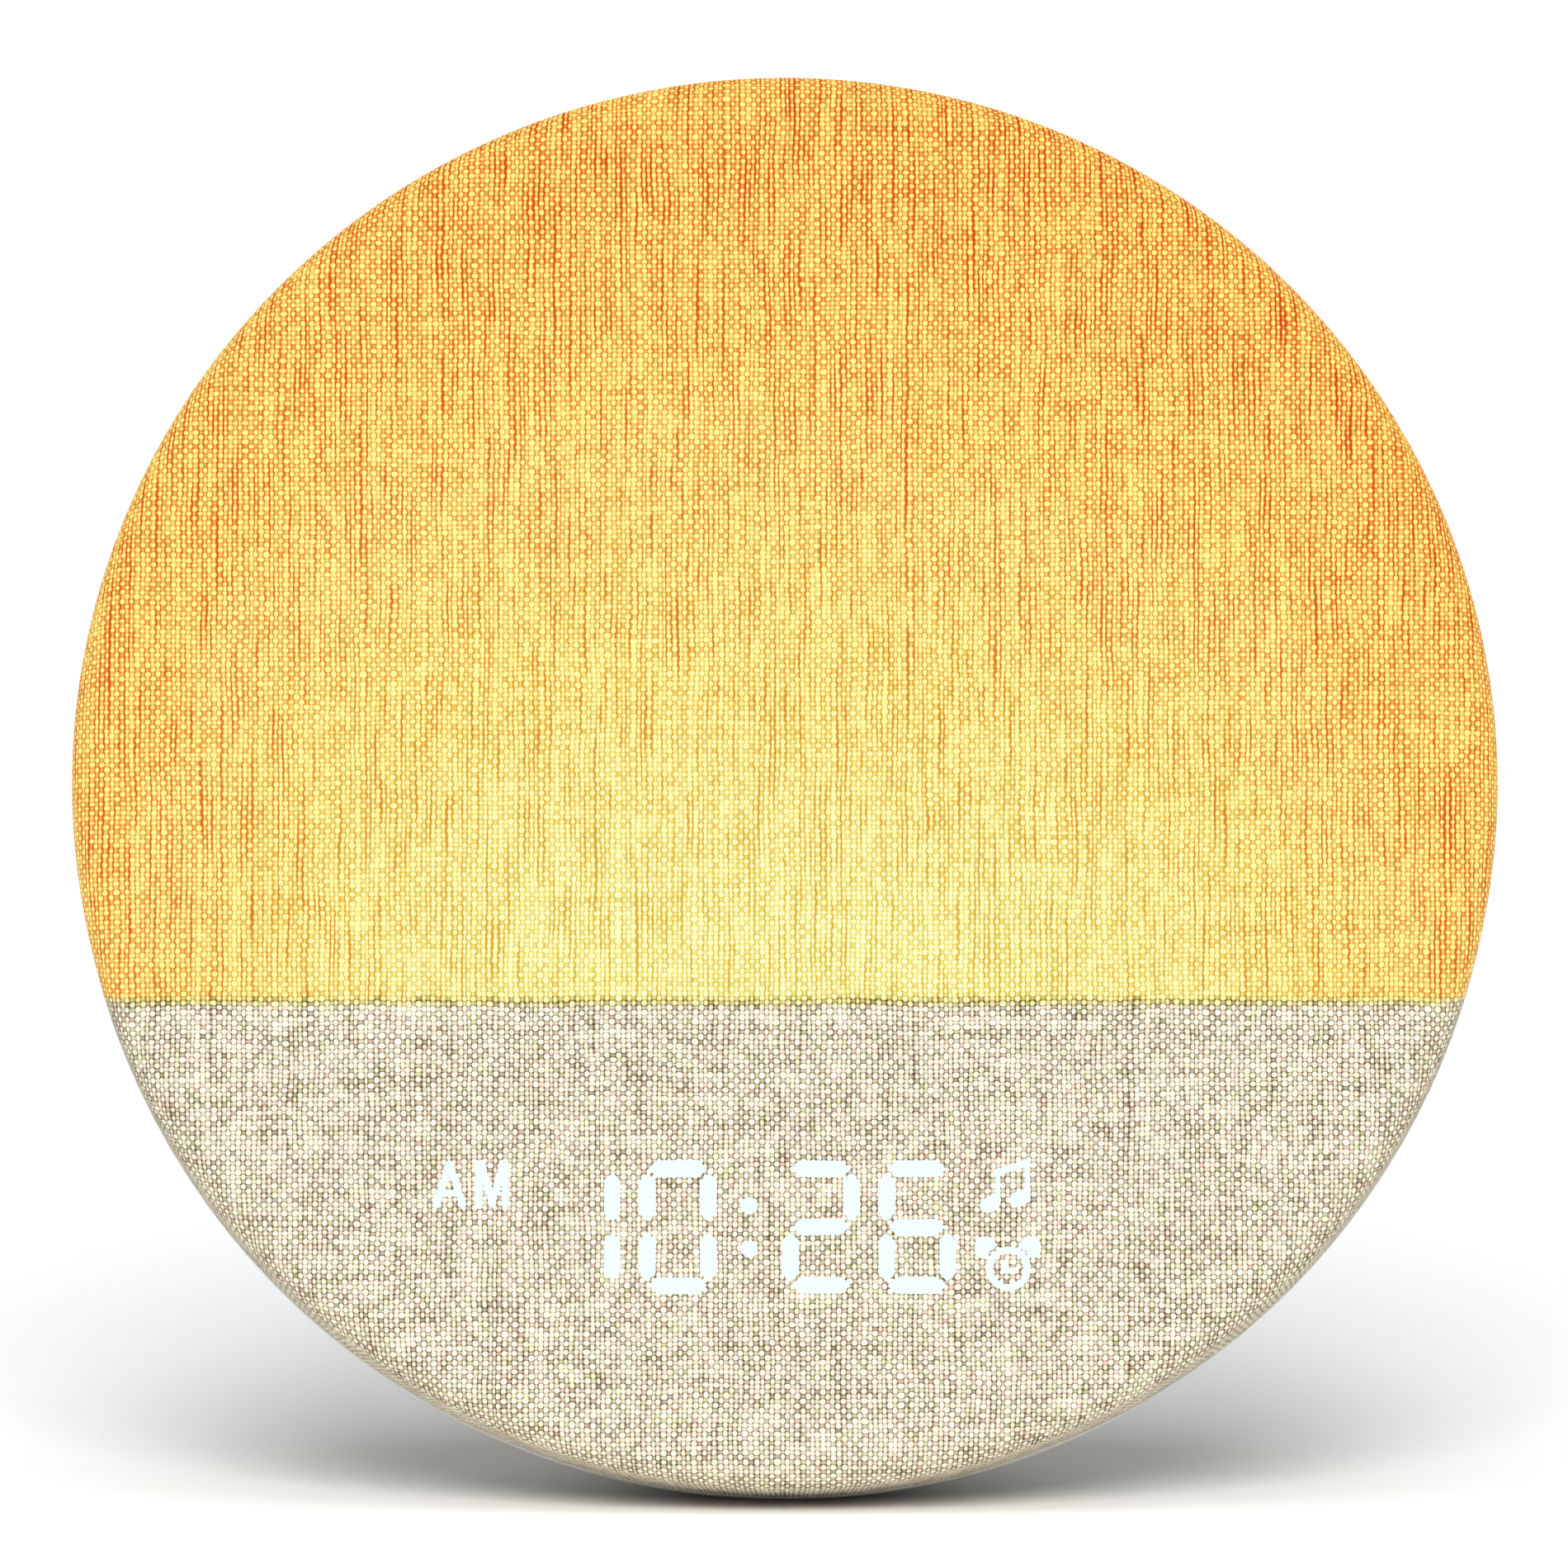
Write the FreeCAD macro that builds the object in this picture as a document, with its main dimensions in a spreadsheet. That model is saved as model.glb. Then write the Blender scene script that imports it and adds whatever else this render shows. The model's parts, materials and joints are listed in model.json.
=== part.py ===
import FreeCAD, Part
import math
import os
import re

import Sketcher
from FreeCAD import Placement, Rotation, Vector

# Round bedside alarm clock with a cloth front that glows like a sunrise.
#
# Every piece is drawn in the clock's own upright position: X to the right, Y into the clock
# (the depth behind the cloth's front), Z up, with the origin in the middle of the round face.
# node() then tips it to its place. The finished frame has +Z up, the face looks along -Y,
# and the origin is in the middle of the foot's underside.

DIMENSIONS = {
    # the round face and its lean
    "face_radius": 89.0,
    "face_setback": 23.5,
    "floor_gap": 0.6,
    "lean": 14.0,
    # cloth and the ring that it is stretched on
    "cloth": 0.8,
    "hem_width": 6.0,
    "rim_depth": 13.0,
    "rim_round": 4.0,
    "ring_inner": 82.0,
    "hem_bore": 1.0,
    "hem_bore_front": 6.0,
    "hem_head": 1.7,
    "lip_thick": 2.2,
    "lip_inner": 82.5,
    "seat_radius": 84.6,
    # panels behind the cloth
    "panel_radius": 84.4,
    "panel_thick": 2.5,
    "divide_drop": 27.4,
    "strip_width": 1.0,
    # reflector tray and lamp board
    "tray_radius": 81.5,
    "tray_back": 21.5,
    "tray_wall": 1.6,
    "lamp_board_wide": 96.0,
    "lamp_board_high": 12.0,
    "lamp_board_drop": 19.0,
    "lamp_pitch": 12.0,
    "board_thick": 1.6,
    # clock display: four digits about a colon, AM to the left, two icons to the right
    "window_left": 46.0,
    "window_right": 34.0,
    "window_top": 46.4,
    "window_bottom": 66.0,
    "film_thick": 0.3,
    "display_back": 10.6,
    "colon_left": 4.4,
    "digits_drop": 56.2,
    "digit_near": 8.9,
    "digit_pitch": 11.95,
    "digit_wide": 9.5,
    "digit_high": 16.7,
    "segment_wide": 2.06,
    "guide_back": 9.6,
    "web": 0.4,
    # rear housing and foot
    "housing_radius": 89.0,
    "housing_wall": 2.2,
    "shoulder_depth": 20.0,
    "shoulder_round": 20.0,
    "back_radius": 60.0,
    "back_depth": 62.5,
    "back_round": 6.0,
    "opening_radius": 49.0,
    "cover_radius": 55.7,
    "cover_front": 60.0,
    "screw_ring": 52.5,
    "boss_front": 52.0,
    "boss_radius": 3.2,
    "boss_bore": 1.3,
    "cover_head": 2.6,
    "cover_sink": 2.8,
    "sink_depth": 1.3,
    "hem_screw_ring": 84.3,
    "foot_wide": 44.0,
    "foot_deep": 37.0,
    "foot_round": 18.0,
    "foot_screw_side": 13.0,
    "foot_screw_back": 10.0,
    "foot_screw_long": 17.0,
    "foot_bore": 1.5,
    "foot_head": 2.9,
    "foot_head_high": 1.9,
    "foot_sink": 3.1,
    "foot_sink_deep": 2.0,
    "pad_thick": 1.2,
    "pad_inset": 1.0,
    # main board and what stands on it
    "board_front": 50.0,
    "board_radius": 47.0,
    "board_notch": 27.0,
    "post_radius": 3.0,
    "post_bore": 1.0,
    "cell_radius": 10.0,
    "cell_thick": 3.2,
    "usb_side": 38.0,
    "usb_drop": 20.0,
    # loudspeaker
    "speaker_drop": 24.0,
    "speaker_radius": 25.0,
    "flange_front": 57.6,
    "flange_thick": 1.0,
    "flange_inner": 22.8,
    "basket_front": 42.0,
    "basket_sheet": 1.0,
    "magnet_radius": 13.0,
    "magnet_front": 33.5,
    "pole_radius": 6.1,
    "coil_inner": 6.5,
    "coil_outer": 7.1,
    "coil_back": 48.4,
    "cone_outer": 19.3,
    "cone_sheet": 0.6,
    "grille_pitch": 5.0,
    "grille_hole": 1.0,
    # controls
    "dial_height": 26.0,
    "dial_radius": 15.0,
    "dial_front": 63.3,
    "dial_back": 75.0,
    "shaft_radius": 3.0,
    "shaft_gap": 0.08,
    "button_radius": 4.5,
    "button_gap": 0.3,
    "button_back": 64.2,
    "flange_proud": 1.1,
    "pin_radius": 1.6,
    "pin_bore": 1.8,
    "slide_height": 4.5,
    "slide_travel": 2.0,
    "snooze_half": 22.0,
    "snooze_front": 21.0,
    "snooze_back": 33.0,
    "snooze_proud": 0.8,
    "snooze_gap": 0.35,
    "snooze_wall": 2.6,
}

FACE_HEIGHT = "face_radius * cos(lean * 1 deg) + rim_depth * sin(lean * 1 deg) + floor_gap"
BOARD_BACK = "board_front + board_thick"
PANEL_BACK = "cloth + panel_thick"
# how much the bowl narrows for each millimetre of depth
TAPER = "(housing_radius - back_radius) / (back_depth - shoulder_depth)"
BACK_TO_DEPTH = Rotation(Vector(1, 0, 0), -90)
LEAN_AXIS = Vector(-1, 0, 0)
LARGE = "4 * face_radius"

doc = FreeCAD.newDocument("alarm_clock")
sheet = doc.addObject("Spreadsheet::Sheet", "dims")
for row, (alias, size) in enumerate(DIMENSIONS.items(), start=1):
    sheet.set(f"A{row}", alias)
    sheet.set(f"B{row}", str(size))
    sheet.setAlias(f"B{row}", alias)
doc.recompute()

nodes = []


def formula(text):
    """Point each dimension named in the text at its cell of the sheet."""
    return re.sub(r"[a-z_]+", lambda m: "dims." + m[0] if m[0] in DIMENSIONS else m[0], str(text))


def number(text):
    """Work a formula out from the sheet, for a size that the code itself needs."""
    result = sheet.evalExpression(formula(text))
    return float(getattr(result, "Value", result))


def bind(thing, sizes):
    for prop, text in sizes.items():
        thing.setExpression(prop, formula(text))


def node(name, thing, right="0", up="0", leaning=True):
    """Name a finished piece and put it in its place on the clock."""
    thing.Label = name
    if leaning:
        thing.Placement = Placement(Vector(), Rotation(LEAN_AXIS, number("lean")))
        bind(thing, {
            "Placement.Rotation.Angle": "lean",
            "Placement.Base.x": right,
            "Placement.Base.y": f"({up}) * sin(lean * 1 deg) - face_setback",
            "Placement.Base.z": f"({up}) * cos(lean * 1 deg) + {FACE_HEIGHT}",
        })
    nodes.append(thing)
    return thing


def block(name, x, y, z):
    """A plain block between two formulas along each axis."""
    thing = doc.addObject("Part::Box", name)
    bind(thing, {
        "Length": f"({x[1]}) - ({x[0]})",
        "Width": f"({y[1]}) - ({y[0]})",
        "Height": f"({z[1]}) - ({z[0]})",
        "Placement.Base.x": x[0],
        "Placement.Base.y": y[0],
        "Placement.Base.z": z[0],
    })
    return thing


def centred_block(name, x, z, wide, high, y):
    """A block given by its middle across the clock and its two depths."""
    return block(name, (f"{x} - ({wide}) / 2", f"{x} + ({wide}) / 2"), y,
                 (f"{z} - ({high}) / 2", f"{z} + ({high}) / 2"))


def rod(name, radius, y, x="0", z="0"):
    """A round rod that runs into the clock."""
    thing = doc.addObject("Part::Cylinder", name)
    thing.Placement = Placement(Vector(), BACK_TO_DEPTH)
    bind(thing, {
        "Radius": radius,
        "Height": f"({y[1]}) - ({y[0]})",
        "Placement.Base.x": x,
        "Placement.Base.y": y[0],
        "Placement.Base.z": z,
    })
    return thing


def pin(name, radius, z, x="0", y="0"):
    """A round rod that stands upright."""
    thing = doc.addObject("Part::Cylinder", name)
    bind(thing, {
        "Radius": radius,
        "Height": f"({z[1]}) - ({z[0]})",
        "Placement.Base.x": x,
        "Placement.Base.y": y,
        "Placement.Base.z": z[0],
    })
    return thing


def fuse(name, pieces):
    thing = doc.addObject("Part::MultiFuse", name)
    thing.Shapes = pieces
    return thing


def group(name, pieces):
    """Separate solids kept as one node."""
    thing = doc.addObject("Part::Compound", name)
    thing.Links = pieces
    return thing


def cut(name, base, tools):
    thing = doc.addObject("Part::Cut", name)
    thing.Base = base
    thing.Tool = tools[0] if len(tools) == 1 else fuse(name + "_tools", tools)
    return thing


def common(name, first, second):
    thing = doc.addObject("Part::Common", name)
    thing.Base = first
    thing.Tool = second
    return thing


def outline(body, role, name, corners):
    """A closed sketch whose corners are bound to pairs of formulas."""
    sketch = body.newObject("Sketcher::SketchObject", name)
    plane = [part for part in body.Origin.OriginFeatures if part.Role == role][0]
    sketch.AttachmentSupport = [(plane, "")]
    sketch.MapMode = "FlatFace"
    points = [Vector(number(u), number(v), 0) for u, v in corners]
    count = len(points)
    for i in range(count):
        sketch.addGeometry(Part.LineSegment(points[i], points[(i + 1) % count]), False)
    for i in range(count):
        sketch.addConstraint(Sketcher.Constraint("Coincident", i, 2, (i + 1) % count, 1))
    for i, corner in enumerate(corners):
        for letter, kind, text, at in zip("uv", ("DistanceX", "DistanceY"), corner, points[i][:2]):
            where = sketch.addConstraint(Sketcher.Constraint(kind, -1, 1, i, 1, at))
            sketch.renameConstraint(where, f"{letter}{i}")
            sketch.setExpression(f"Constraints.{letter}{i}", formula(text))
    return sketch


def round_corner(body, base, name, radius, corner):
    """Round the circular edge that stands at a radius and a depth."""
    doc.recompute()
    wide, deep = number(corner[0]), number(corner[1])
    for index, edge in enumerate(base.Shape.Edges, start=1):
        if not isinstance(edge.Curve, Part.Circle):
            continue
        if abs(edge.Curve.Radius - wide) < 0.01 and abs(edge.Curve.Center.y - deep) < 0.01:
            rounding = body.newObject("PartDesign::Fillet", name)
            rounding.Base = (base, [f"Edge{index}"])
            bind(rounding, {"Radius": radius})
            return rounding
    raise ValueError(f"{body.Label}: no edge at radius {wide}, depth {deep}")


def turned(name, corners, rounds=()):
    """Spin an outline of (radius, depth) corners about the depth axis, then round some edges."""
    body = doc.addObject("PartDesign::Body", name)
    profile = outline(body, "XY_Plane", name + "_profile", corners)
    solid = body.newObject("PartDesign::Revolution", name + "_spin")
    solid.Profile = profile
    solid.ReferenceAxis = (profile, ["V_Axis"])
    solid.Angle = 360
    for i, (radius, corner) in enumerate(rounds):
        solid = round_corner(body, solid, f"{name}_round{i}", radius, corner)
    return body


def footprint(name, inset, z):
    """An upright pad with the foot's rounded outline, standing over the origin."""
    body = doc.addObject("PartDesign::Body", name)
    half_x, half_y = f"foot_wide / 2 - {inset}", f"foot_deep / 2 - {inset}"
    corners = [(f"-({half_x})", f"-({half_y})"), (half_x, f"-({half_y})"),
               (half_x, half_y), (f"-({half_x})", half_y)]
    profile = outline(body, "XY_Plane", name + "_outline", corners)
    bind(profile, {"AttachmentOffset.Base.z": z[0]})
    pad = body.newObject("PartDesign::Pad", name + "_pad")
    pad.Profile = profile
    bind(pad, {"Length": f"({z[1]}) - ({z[0]})"})
    doc.recompute()
    upright = [f"Edge{i}" for i, edge in enumerate(pad.Shape.Edges, start=1)
               if abs(edge.tangentAt(edge.FirstParameter).z) > 0.99]
    rounding = body.newObject("PartDesign::Fillet", name + "_corners")
    rounding.Base = (pad, upright)
    bind(rounding, {"Radius": f"foot_round - {inset}"})
    return body


def slot(name, x, z, wide, high, y):
    """A flat-sided slot with round ends, running into the clock."""
    side = f"({wide} - {high}) / 2"
    return fuse(name, [
        centred_block(name + "_middle", x, z, f"{wide} - {high}", high, y),
        rod(name + "_left", f"({high}) / 2", y, f"{x} - {side}", z),
        rod(name + "_right", f"({high}) / 2", y, f"{x} + {side}", z),
    ])


def upright_slot(name, side, front, back, z):
    """A column with round ends, as wide as two sides and standing between two depths."""
    radius = f"({back} - ({front})) / 2"
    middle = f"({back} + {front}) / 2"
    return fuse(name, [
        block(name + "_middle", (f"-({side}) + {radius}", f"{side} - {radius}"), (front, back), z),
        pin(name + "_left", radius, z, f"-({side}) + {radius}", middle),
        pin(name + "_right", radius, z, f"{side} - {radius}", middle),
    ])


def screw(name, x, z, head, shank, depths):
    """A pan-head screw: depths are the head's far face, its seat and the shank's tip."""
    far, seat, tip = depths
    return fuse(name, [
        rod(name + "_head", head, sorted((far, seat), key=number), x, z),
        rod(name + "_shank", shank, sorted((seat, tip), key=number), x, z),
    ])


def around(radius, angles):
    """Places on a ring, as pairs of formulas."""
    return [(f"{radius} * cos({angle} deg)", f"{radius} * sin({angle} deg)") for angle in angles]


# ---- the cloth front, stretched over a ring and held by six screws through its hem ----

HEM_FRONT = "rim_depth - cloth"
FRONT_ROUND = [("rim_round", ("face_radius", "0")),
               ("rim_round - cloth", ("face_radius - cloth", "cloth"))]
hem_places = around("hem_screw_ring", range(0, 360, 60))

cloth_shell = turned("cloth_shell", [
    ("0", "0"), ("face_radius", "0"), ("face_radius", "rim_depth"),
    ("face_radius - hem_width", "rim_depth"), ("face_radius - hem_width", HEM_FRONT),
    ("face_radius - cloth", HEM_FRONT), ("face_radius - cloth", "cloth"), ("0", "cloth"),
], FRONT_ROUND)
hem_cutters = [rod(f"hem_cutter{i}", "hem_bore", (PANEL_BACK, LARGE), x, z)
               for i, (x, z) in enumerate(hem_places)]
node("fabric_cover", cut("cloth_cut", cloth_shell, hem_cutters))

ring_body = turned("ring_body", [
    ("seat_radius", "cloth"), ("face_radius - cloth", "cloth"), ("face_radius - cloth", HEM_FRONT),
    ("ring_inner", HEM_FRONT), ("ring_inner", PANEL_BACK), ("seat_radius", PANEL_BACK),
], [("rim_round - cloth", ("face_radius - cloth", "cloth"))])
ring_cutters = [rod(f"ring_cutter{i}", "hem_bore", ("hem_bore_front", LARGE), x, z)
                for i, (x, z) in enumerate(hem_places)]
node("front_frame", cut("ring_cut", ring_body, ring_cutters))

node("frame_screws", group("hem_screws", [
    screw(f"hem_screw{i}", x, z, "hem_head", "hem_bore",
          ("rim_depth + lip_thick + 1.4", "rim_depth + lip_thick", "hem_bore_front"))
    for i, (x, z) in enumerate(hem_places)]))

# ---- the lit half: opal panel, tray behind it, lamp board at the tray's foot ----

above_divide = ("-divide_drop + strip_width / 2", LARGE)
node("diffuser_panel", common("diffuser_cut",
     rod("diffuser_disc", "panel_radius", ("cloth", PANEL_BACK)),
     block("diffuser_half", (f"-{LARGE}", LARGE), ("0", LARGE), above_divide)))

half_chord = "sqrt(panel_radius ^ 2 - (divide_drop + strip_width) ^ 2)"
node("divider_gasket", group("gasket_strip", [
    centred_block("gasket", "0", "-divide_drop", f"2 * {half_chord}", "strip_width",
                  ("cloth", PANEL_BACK))]))

tray_floor = "tray_back - tray_wall"
tray_outer = common("tray_outer",
                    rod("tray_disc", "tray_radius", (PANEL_BACK, "tray_back")),
                    block("tray_half", (f"-{LARGE}", LARGE), ("0", LARGE),
                          ("-divide_drop - tray_wall", LARGE)))
tray_hollow = common("tray_hollow",
                     rod("tray_room", "tray_radius - tray_wall", ("0", tray_floor)),
                     block("tray_room_half", (f"-{LARGE}", LARGE), ("0", LARGE),
                           ("-divide_drop", LARGE)))
lamp_socket_side = "30"
tray_slot = centred_block("tray_slot", lamp_socket_side, "-lamp_board_drop", "8.4", "4.4",
                          ("tray_back - 3", LARGE))
node("reflector_tray", cut("tray_cut", tray_outer, [tray_hollow, tray_slot]))

lamp_board_front = f"{tray_floor} - board_thick"
node("lamp_board", group("lamp_plate", [
    centred_block("lamp_plate_block", "0", "-lamp_board_drop", "lamp_board_wide",
                  "lamp_board_high", (lamp_board_front, tray_floor))]))
lamp_steps = [step / 2 for step in range(-7, 8, 2)]
node("lamp_leds", group("lamp_chips", [
    centred_block(f"lamp_led{i}", f"{step} * lamp_pitch", "-lamp_board_drop", "3.5", "3.5",
                  (f"{lamp_board_front} - 1", lamp_board_front))
    for i, step in enumerate(lamp_steps)]))

# ---- the unlit half: opaque panel with a window, light guides, chips and their board ----

window = block("window", ("-window_left", "window_right"), ("0", LARGE),
               ("-window_bottom", "-window_top"))
display_disc = rod("display_disc", "panel_radius", ("cloth", PANEL_BACK))
display_half = common("display_half", display_disc,
                      block("below_divide", (f"-{LARGE}", LARGE), ("0", LARGE),
                            (f"-{LARGE}", "-divide_drop - strip_width / 2")))
display_posts = [rod(f"display_post{i}", "2.2", (PANEL_BACK, "display_back"), x, "-43.6")
                 for i, x in enumerate(("-42", "30"))]
node("display_panel", fuse("display_panel_all",
     [cut("display_window", display_half, [window])] + display_posts))

film_back = f"{PANEL_BACK} + film_thick"
node("display_film", group("film", [
    block("film_block", ("-window_left", "window_right"), (PANEL_BACK, film_back),
          ("-window_bottom", "-window_top"))]))

# a digit's seven bars: how far across and up from its middle, how wide and how high
ACROSS = "digit_wide - 2 * segment_wide - 2 * web"
UPRIGHT = "digit_high / 2 - 1.5 * segment_wide - web"
SIDE, RISE = "(digit_wide - segment_wide) / 2", "(digit_high - segment_wide) / 2"
bars = [("0", f"{way} * {RISE}", ACROSS, "segment_wide") for way in (-1, 0, 1)]
bars += [(f"{side} * {SIDE}", f"{rise} * digit_high / 4", "segment_wide", UPRIGHT)
         for side in (-1, 1) for rise in (-1, 1)]
digit_places = ["-digit_near - digit_pitch", "-digit_near", "digit_near",
                "digit_near + digit_pitch"]


def lights(prefix, x_size, z_size, y):
    """A block behind each bar and icon and a rod behind each dot, scaled by x_size and z_size."""
    shapes = []
    for d, place in enumerate(digit_places):
        for b, (x, z, wide, high) in enumerate(bars):
            shapes.append(centred_block(
                f"{prefix}_digit{d}_bar{b}", f"{place} - colon_left + {x}", f"-digits_drop + {z}",
                f"({wide}) * {x_size}", f"({high}) * {z_size}", y))
    for i, rise in enumerate(("2.7", "-2.7")):
        shapes.append(rod(f"{prefix}_dot{i}", f"{x_size}", y, "-colon_left", f"-digits_drop + {rise}"))
    for name, x, z, wide, high in (("am", "-39.2", "-51.1", "9.4", "6.2"),
                                   ("note", "27.4", "-51.2", "6.2", "6.8"),
                                   ("bell", "27.8", "-60.8", "8.4", "7")):
        shapes.append(centred_block(f"{prefix}_{name}", x, z, f"{wide} * {x_size}",
                                    f"{high} * {z_size}", y))
    return shapes


node("display_segments", group("guides", lights("guide", "1", "1", (film_back, "guide_back"))))
housing_block = block("segment_block", ("-window_left", "window_right"),
                      (film_back, "display_back"), ("-window_bottom", "-window_top"))
node("segment_housing", cut("segment_cut", housing_block,
                            lights("hole", "1", "1", (film_back, "display_back"))))
node("display_leds", group("chips", lights("chip", "0.7", "0.7", ("guide_back + 0.2", "display_back"))))
node("display_board", group("display_plate", [
    block("display_plate_block", ("-46.5", "35"), ("display_back", "display_back + board_thick"),
          ("-67", "-41"))]))

# ---- rear housing: a bowl with a clamping lip in front and a ledge for the cover behind ----

LEDGE_FRONT = "cover_front - 2"
bowl_shoulder = ("housing_radius", "shoulder_depth")
bowl_back = ("back_radius", "back_depth")
bowl_rounds = [("shoulder_round", bowl_shoulder), ("back_round", bowl_back)]
inner_shoulder = ("housing_radius - housing_wall", "shoulder_depth - 0.3 * housing_wall")
inner_back = (f"back_radius + (back_depth - {LEDGE_FRONT}) * {TAPER} - 1.2 * housing_wall", LEDGE_FRONT)
bowl = turned("bowl", [
    ("housing_radius", "rim_depth"), bowl_shoulder, bowl_back,
    ("cover_radius + 0.3", "back_depth"), ("cover_radius + 0.3", "cover_front"),
    ("opening_radius", "cover_front"), ("opening_radius", LEDGE_FRONT), inner_back, inner_shoulder,
    ("housing_radius - housing_wall", "rim_depth + lip_thick"), ("lip_inner", "rim_depth + lip_thick"),
    ("lip_inner", "rim_depth"),
], bowl_rounds + [("0.6 * shoulder_round", inner_shoulder)])

cover_places = around("screw_ring", (45, 135, 225, 315))
bosses = [rod(f"boss{i}", "boss_radius", ("boss_front", LEDGE_FRONT), x, z)
          for i, (x, z) in enumerate(cover_places)]
boss_holes = [rod(f"boss_hole{i}", "boss_bore", ("boss_front", "back_depth"), x, z)
              for i, (x, z) in enumerate(cover_places)]
lip_holes = [rod(f"lip_hole{i}", "hem_bore", ("rim_depth", "rim_depth + lip_thick"), x, z)
             for i, (x, z) in enumerate(hem_places)]
snooze_slot = upright_slot("snooze_slot", "snooze_half + snooze_gap", "snooze_front - snooze_gap",
                           "snooze_back + snooze_gap", ("70", LARGE))
snooze_shelf = centred_block("snooze_shelf", "0", "67.1", "30", "1.6", ("22.5", "50"))
bowl_whole = turned("bowl_whole", [
    ("0", "rim_depth"), ("housing_radius", "rim_depth"), bowl_shoulder, bowl_back, ("0", "back_depth"),
], bowl_rounds)
shelf = common("shelf", snooze_shelf, bowl_whole)
bowl_drilled = cut("bowl_drilled", fuse("bowl_bossed", [bowl] + bosses + [shelf]),
                   boss_holes + lip_holes + [snooze_slot])

# ---- foot: a cast block under the bowl on a silicone pad, screwed up into the bowl ----

foot_places = [(f"{side} * foot_screw_side", "foot_screw_back") for side in (-1, 1)]
foot_screw_tip = "pad_thick + foot_screw_long"


def in_clock_frame(name, pieces):
    """Upright pieces of the foot, turned back into the frame that the leaning pieces are drawn in."""
    held = group(name, pieces)
    held.Placement = Placement(Vector(), Rotation(-LEAN_AXIS, number("lean")))
    bind(held, {
        "Placement.Rotation.Angle": "lean",
        "Placement.Base.y": f"face_setback * cos(lean * 1 deg) + ({FACE_HEIGHT}) * sin(lean * 1 deg)",
        "Placement.Base.z": f"face_setback * sin(lean * 1 deg) - ({FACE_HEIGHT}) * cos(lean * 1 deg)",
    })
    return held


def foot_pins(name, radius, z):
    return [pin(f"{name}{i}", radius, z, x, y) for i, (x, y) in enumerate(foot_places)]


node("rear_housing", cut("bowl_cut", bowl_drilled, [
    in_clock_frame("foot_bores", foot_pins("housing_bore", "foot_bore", ("pad_thick", foot_screw_tip)))]))

foot_raw = in_clock_frame("foot_raw", [footprint("foot_column", "0", ("pad_thick", "30"))])
foot_below = cut("foot_below", foot_raw, [
    bowl_whole,
    in_clock_frame("foot_holes", foot_pins("foot_hole", "foot_bore", ("pad_thick", foot_screw_tip))),
    in_clock_frame("foot_sinks", foot_pins("head_sink", "foot_sink",
                                           ("pad_thick", "pad_thick + foot_sink_deep"))),
])
node("foot_block", foot_below)
node("base_pad", footprint("pad", "pad_inset", ("0", "pad_thick")), leaning=False)
node("foot_screws", group("foot_screw_pair", [
    fuse(f"foot_screw{i}", [
        pin(f"foot_screw_head{i}", "foot_head", ("pad_thick", "pad_thick + foot_head_high"), x, y),
        pin(f"foot_shank{i}", "foot_bore", ("pad_thick + foot_head_high", foot_screw_tip), x, y)])
    for i, (x, y) in enumerate(foot_places)]), leaning=False)

# ---- rear cover: grille, openings for the controls, and posts that hold the main board ----

button_places = {
    "alarm_button": ("-24", "35"),
    "clock_button": ("24", "35"),
    "light_button": ("-24", "13"),
    "sound_button": ("24", "13"),
}
post_places = [("-40", "2"), ("40", "2"), ("-11", "43.5"), ("11", "43.5")]
cover_plate = turned("cover_plate", [
    ("0", "cover_front"), ("cover_radius", "cover_front"), ("cover_radius", "back_depth"),
    ("0", "back_depth"),
], [("0.8", ("cover_radius", "back_depth"))])
posts = [rod(f"post{i}", "post_radius", (BOARD_BACK, "cover_front"), x, z)
         for i, (x, z) in enumerate(post_places)]
grille = [rod("grille_middle", "grille_hole", ("0", LARGE), "0", "-speaker_drop")]
for ring in range(1, 5):
    for i, (x, z) in enumerate(around(f"{ring} * grille_pitch", range(0, 360, 60 // ring))):
        grille.append(rod(f"grille_{ring}_{i}", "grille_hole", ("0", LARGE), x, f"{z} - speaker_drop"))
openings = [rod(f"opening_{name}", "button_radius + button_gap", ("0", LARGE), x, z)
            for name, (x, z) in button_places.items()]
openings.append(rod("dial_opening", "5", ("0", LARGE), "0", "dial_height"))
openings.append(slot("slide_opening", "0", "slide_height", "8.8", "3.6", ("0", LARGE)))
openings.append(slot("usb_opening", "usb_side", "-usb_drop", "10.2", "4.2", ("0", LARGE)))
openings += [rod(f"cover_hole{i}", "1.5", ("0", LARGE), x, z)
             for i, (x, z) in enumerate(cover_places)]
openings += [rod(f"cover_sink{i}", "cover_sink", ("back_depth - sink_depth", LARGE), x, z)
             for i, (x, z) in enumerate(cover_places)]
openings += [rod(f"post_hole{i}", "post_bore", ("0", "cover_front - 2"), x, z)
             for i, (x, z) in enumerate(post_places)]
node("rear_cover", cut("cover_cut", fuse("cover_posted", [cover_plate] + posts), grille + openings))
node("cover_screws", group("cover_screw_set", [
    screw(f"cover_screw{i}", x, z, "cover_head", "boss_bore",
          ("back_depth - 0.1", "back_depth - sink_depth", "cover_front - 7"))
    for i, (x, z) in enumerate(cover_places)]))

# ---- main board, its parts and the power inlet ----

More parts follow.
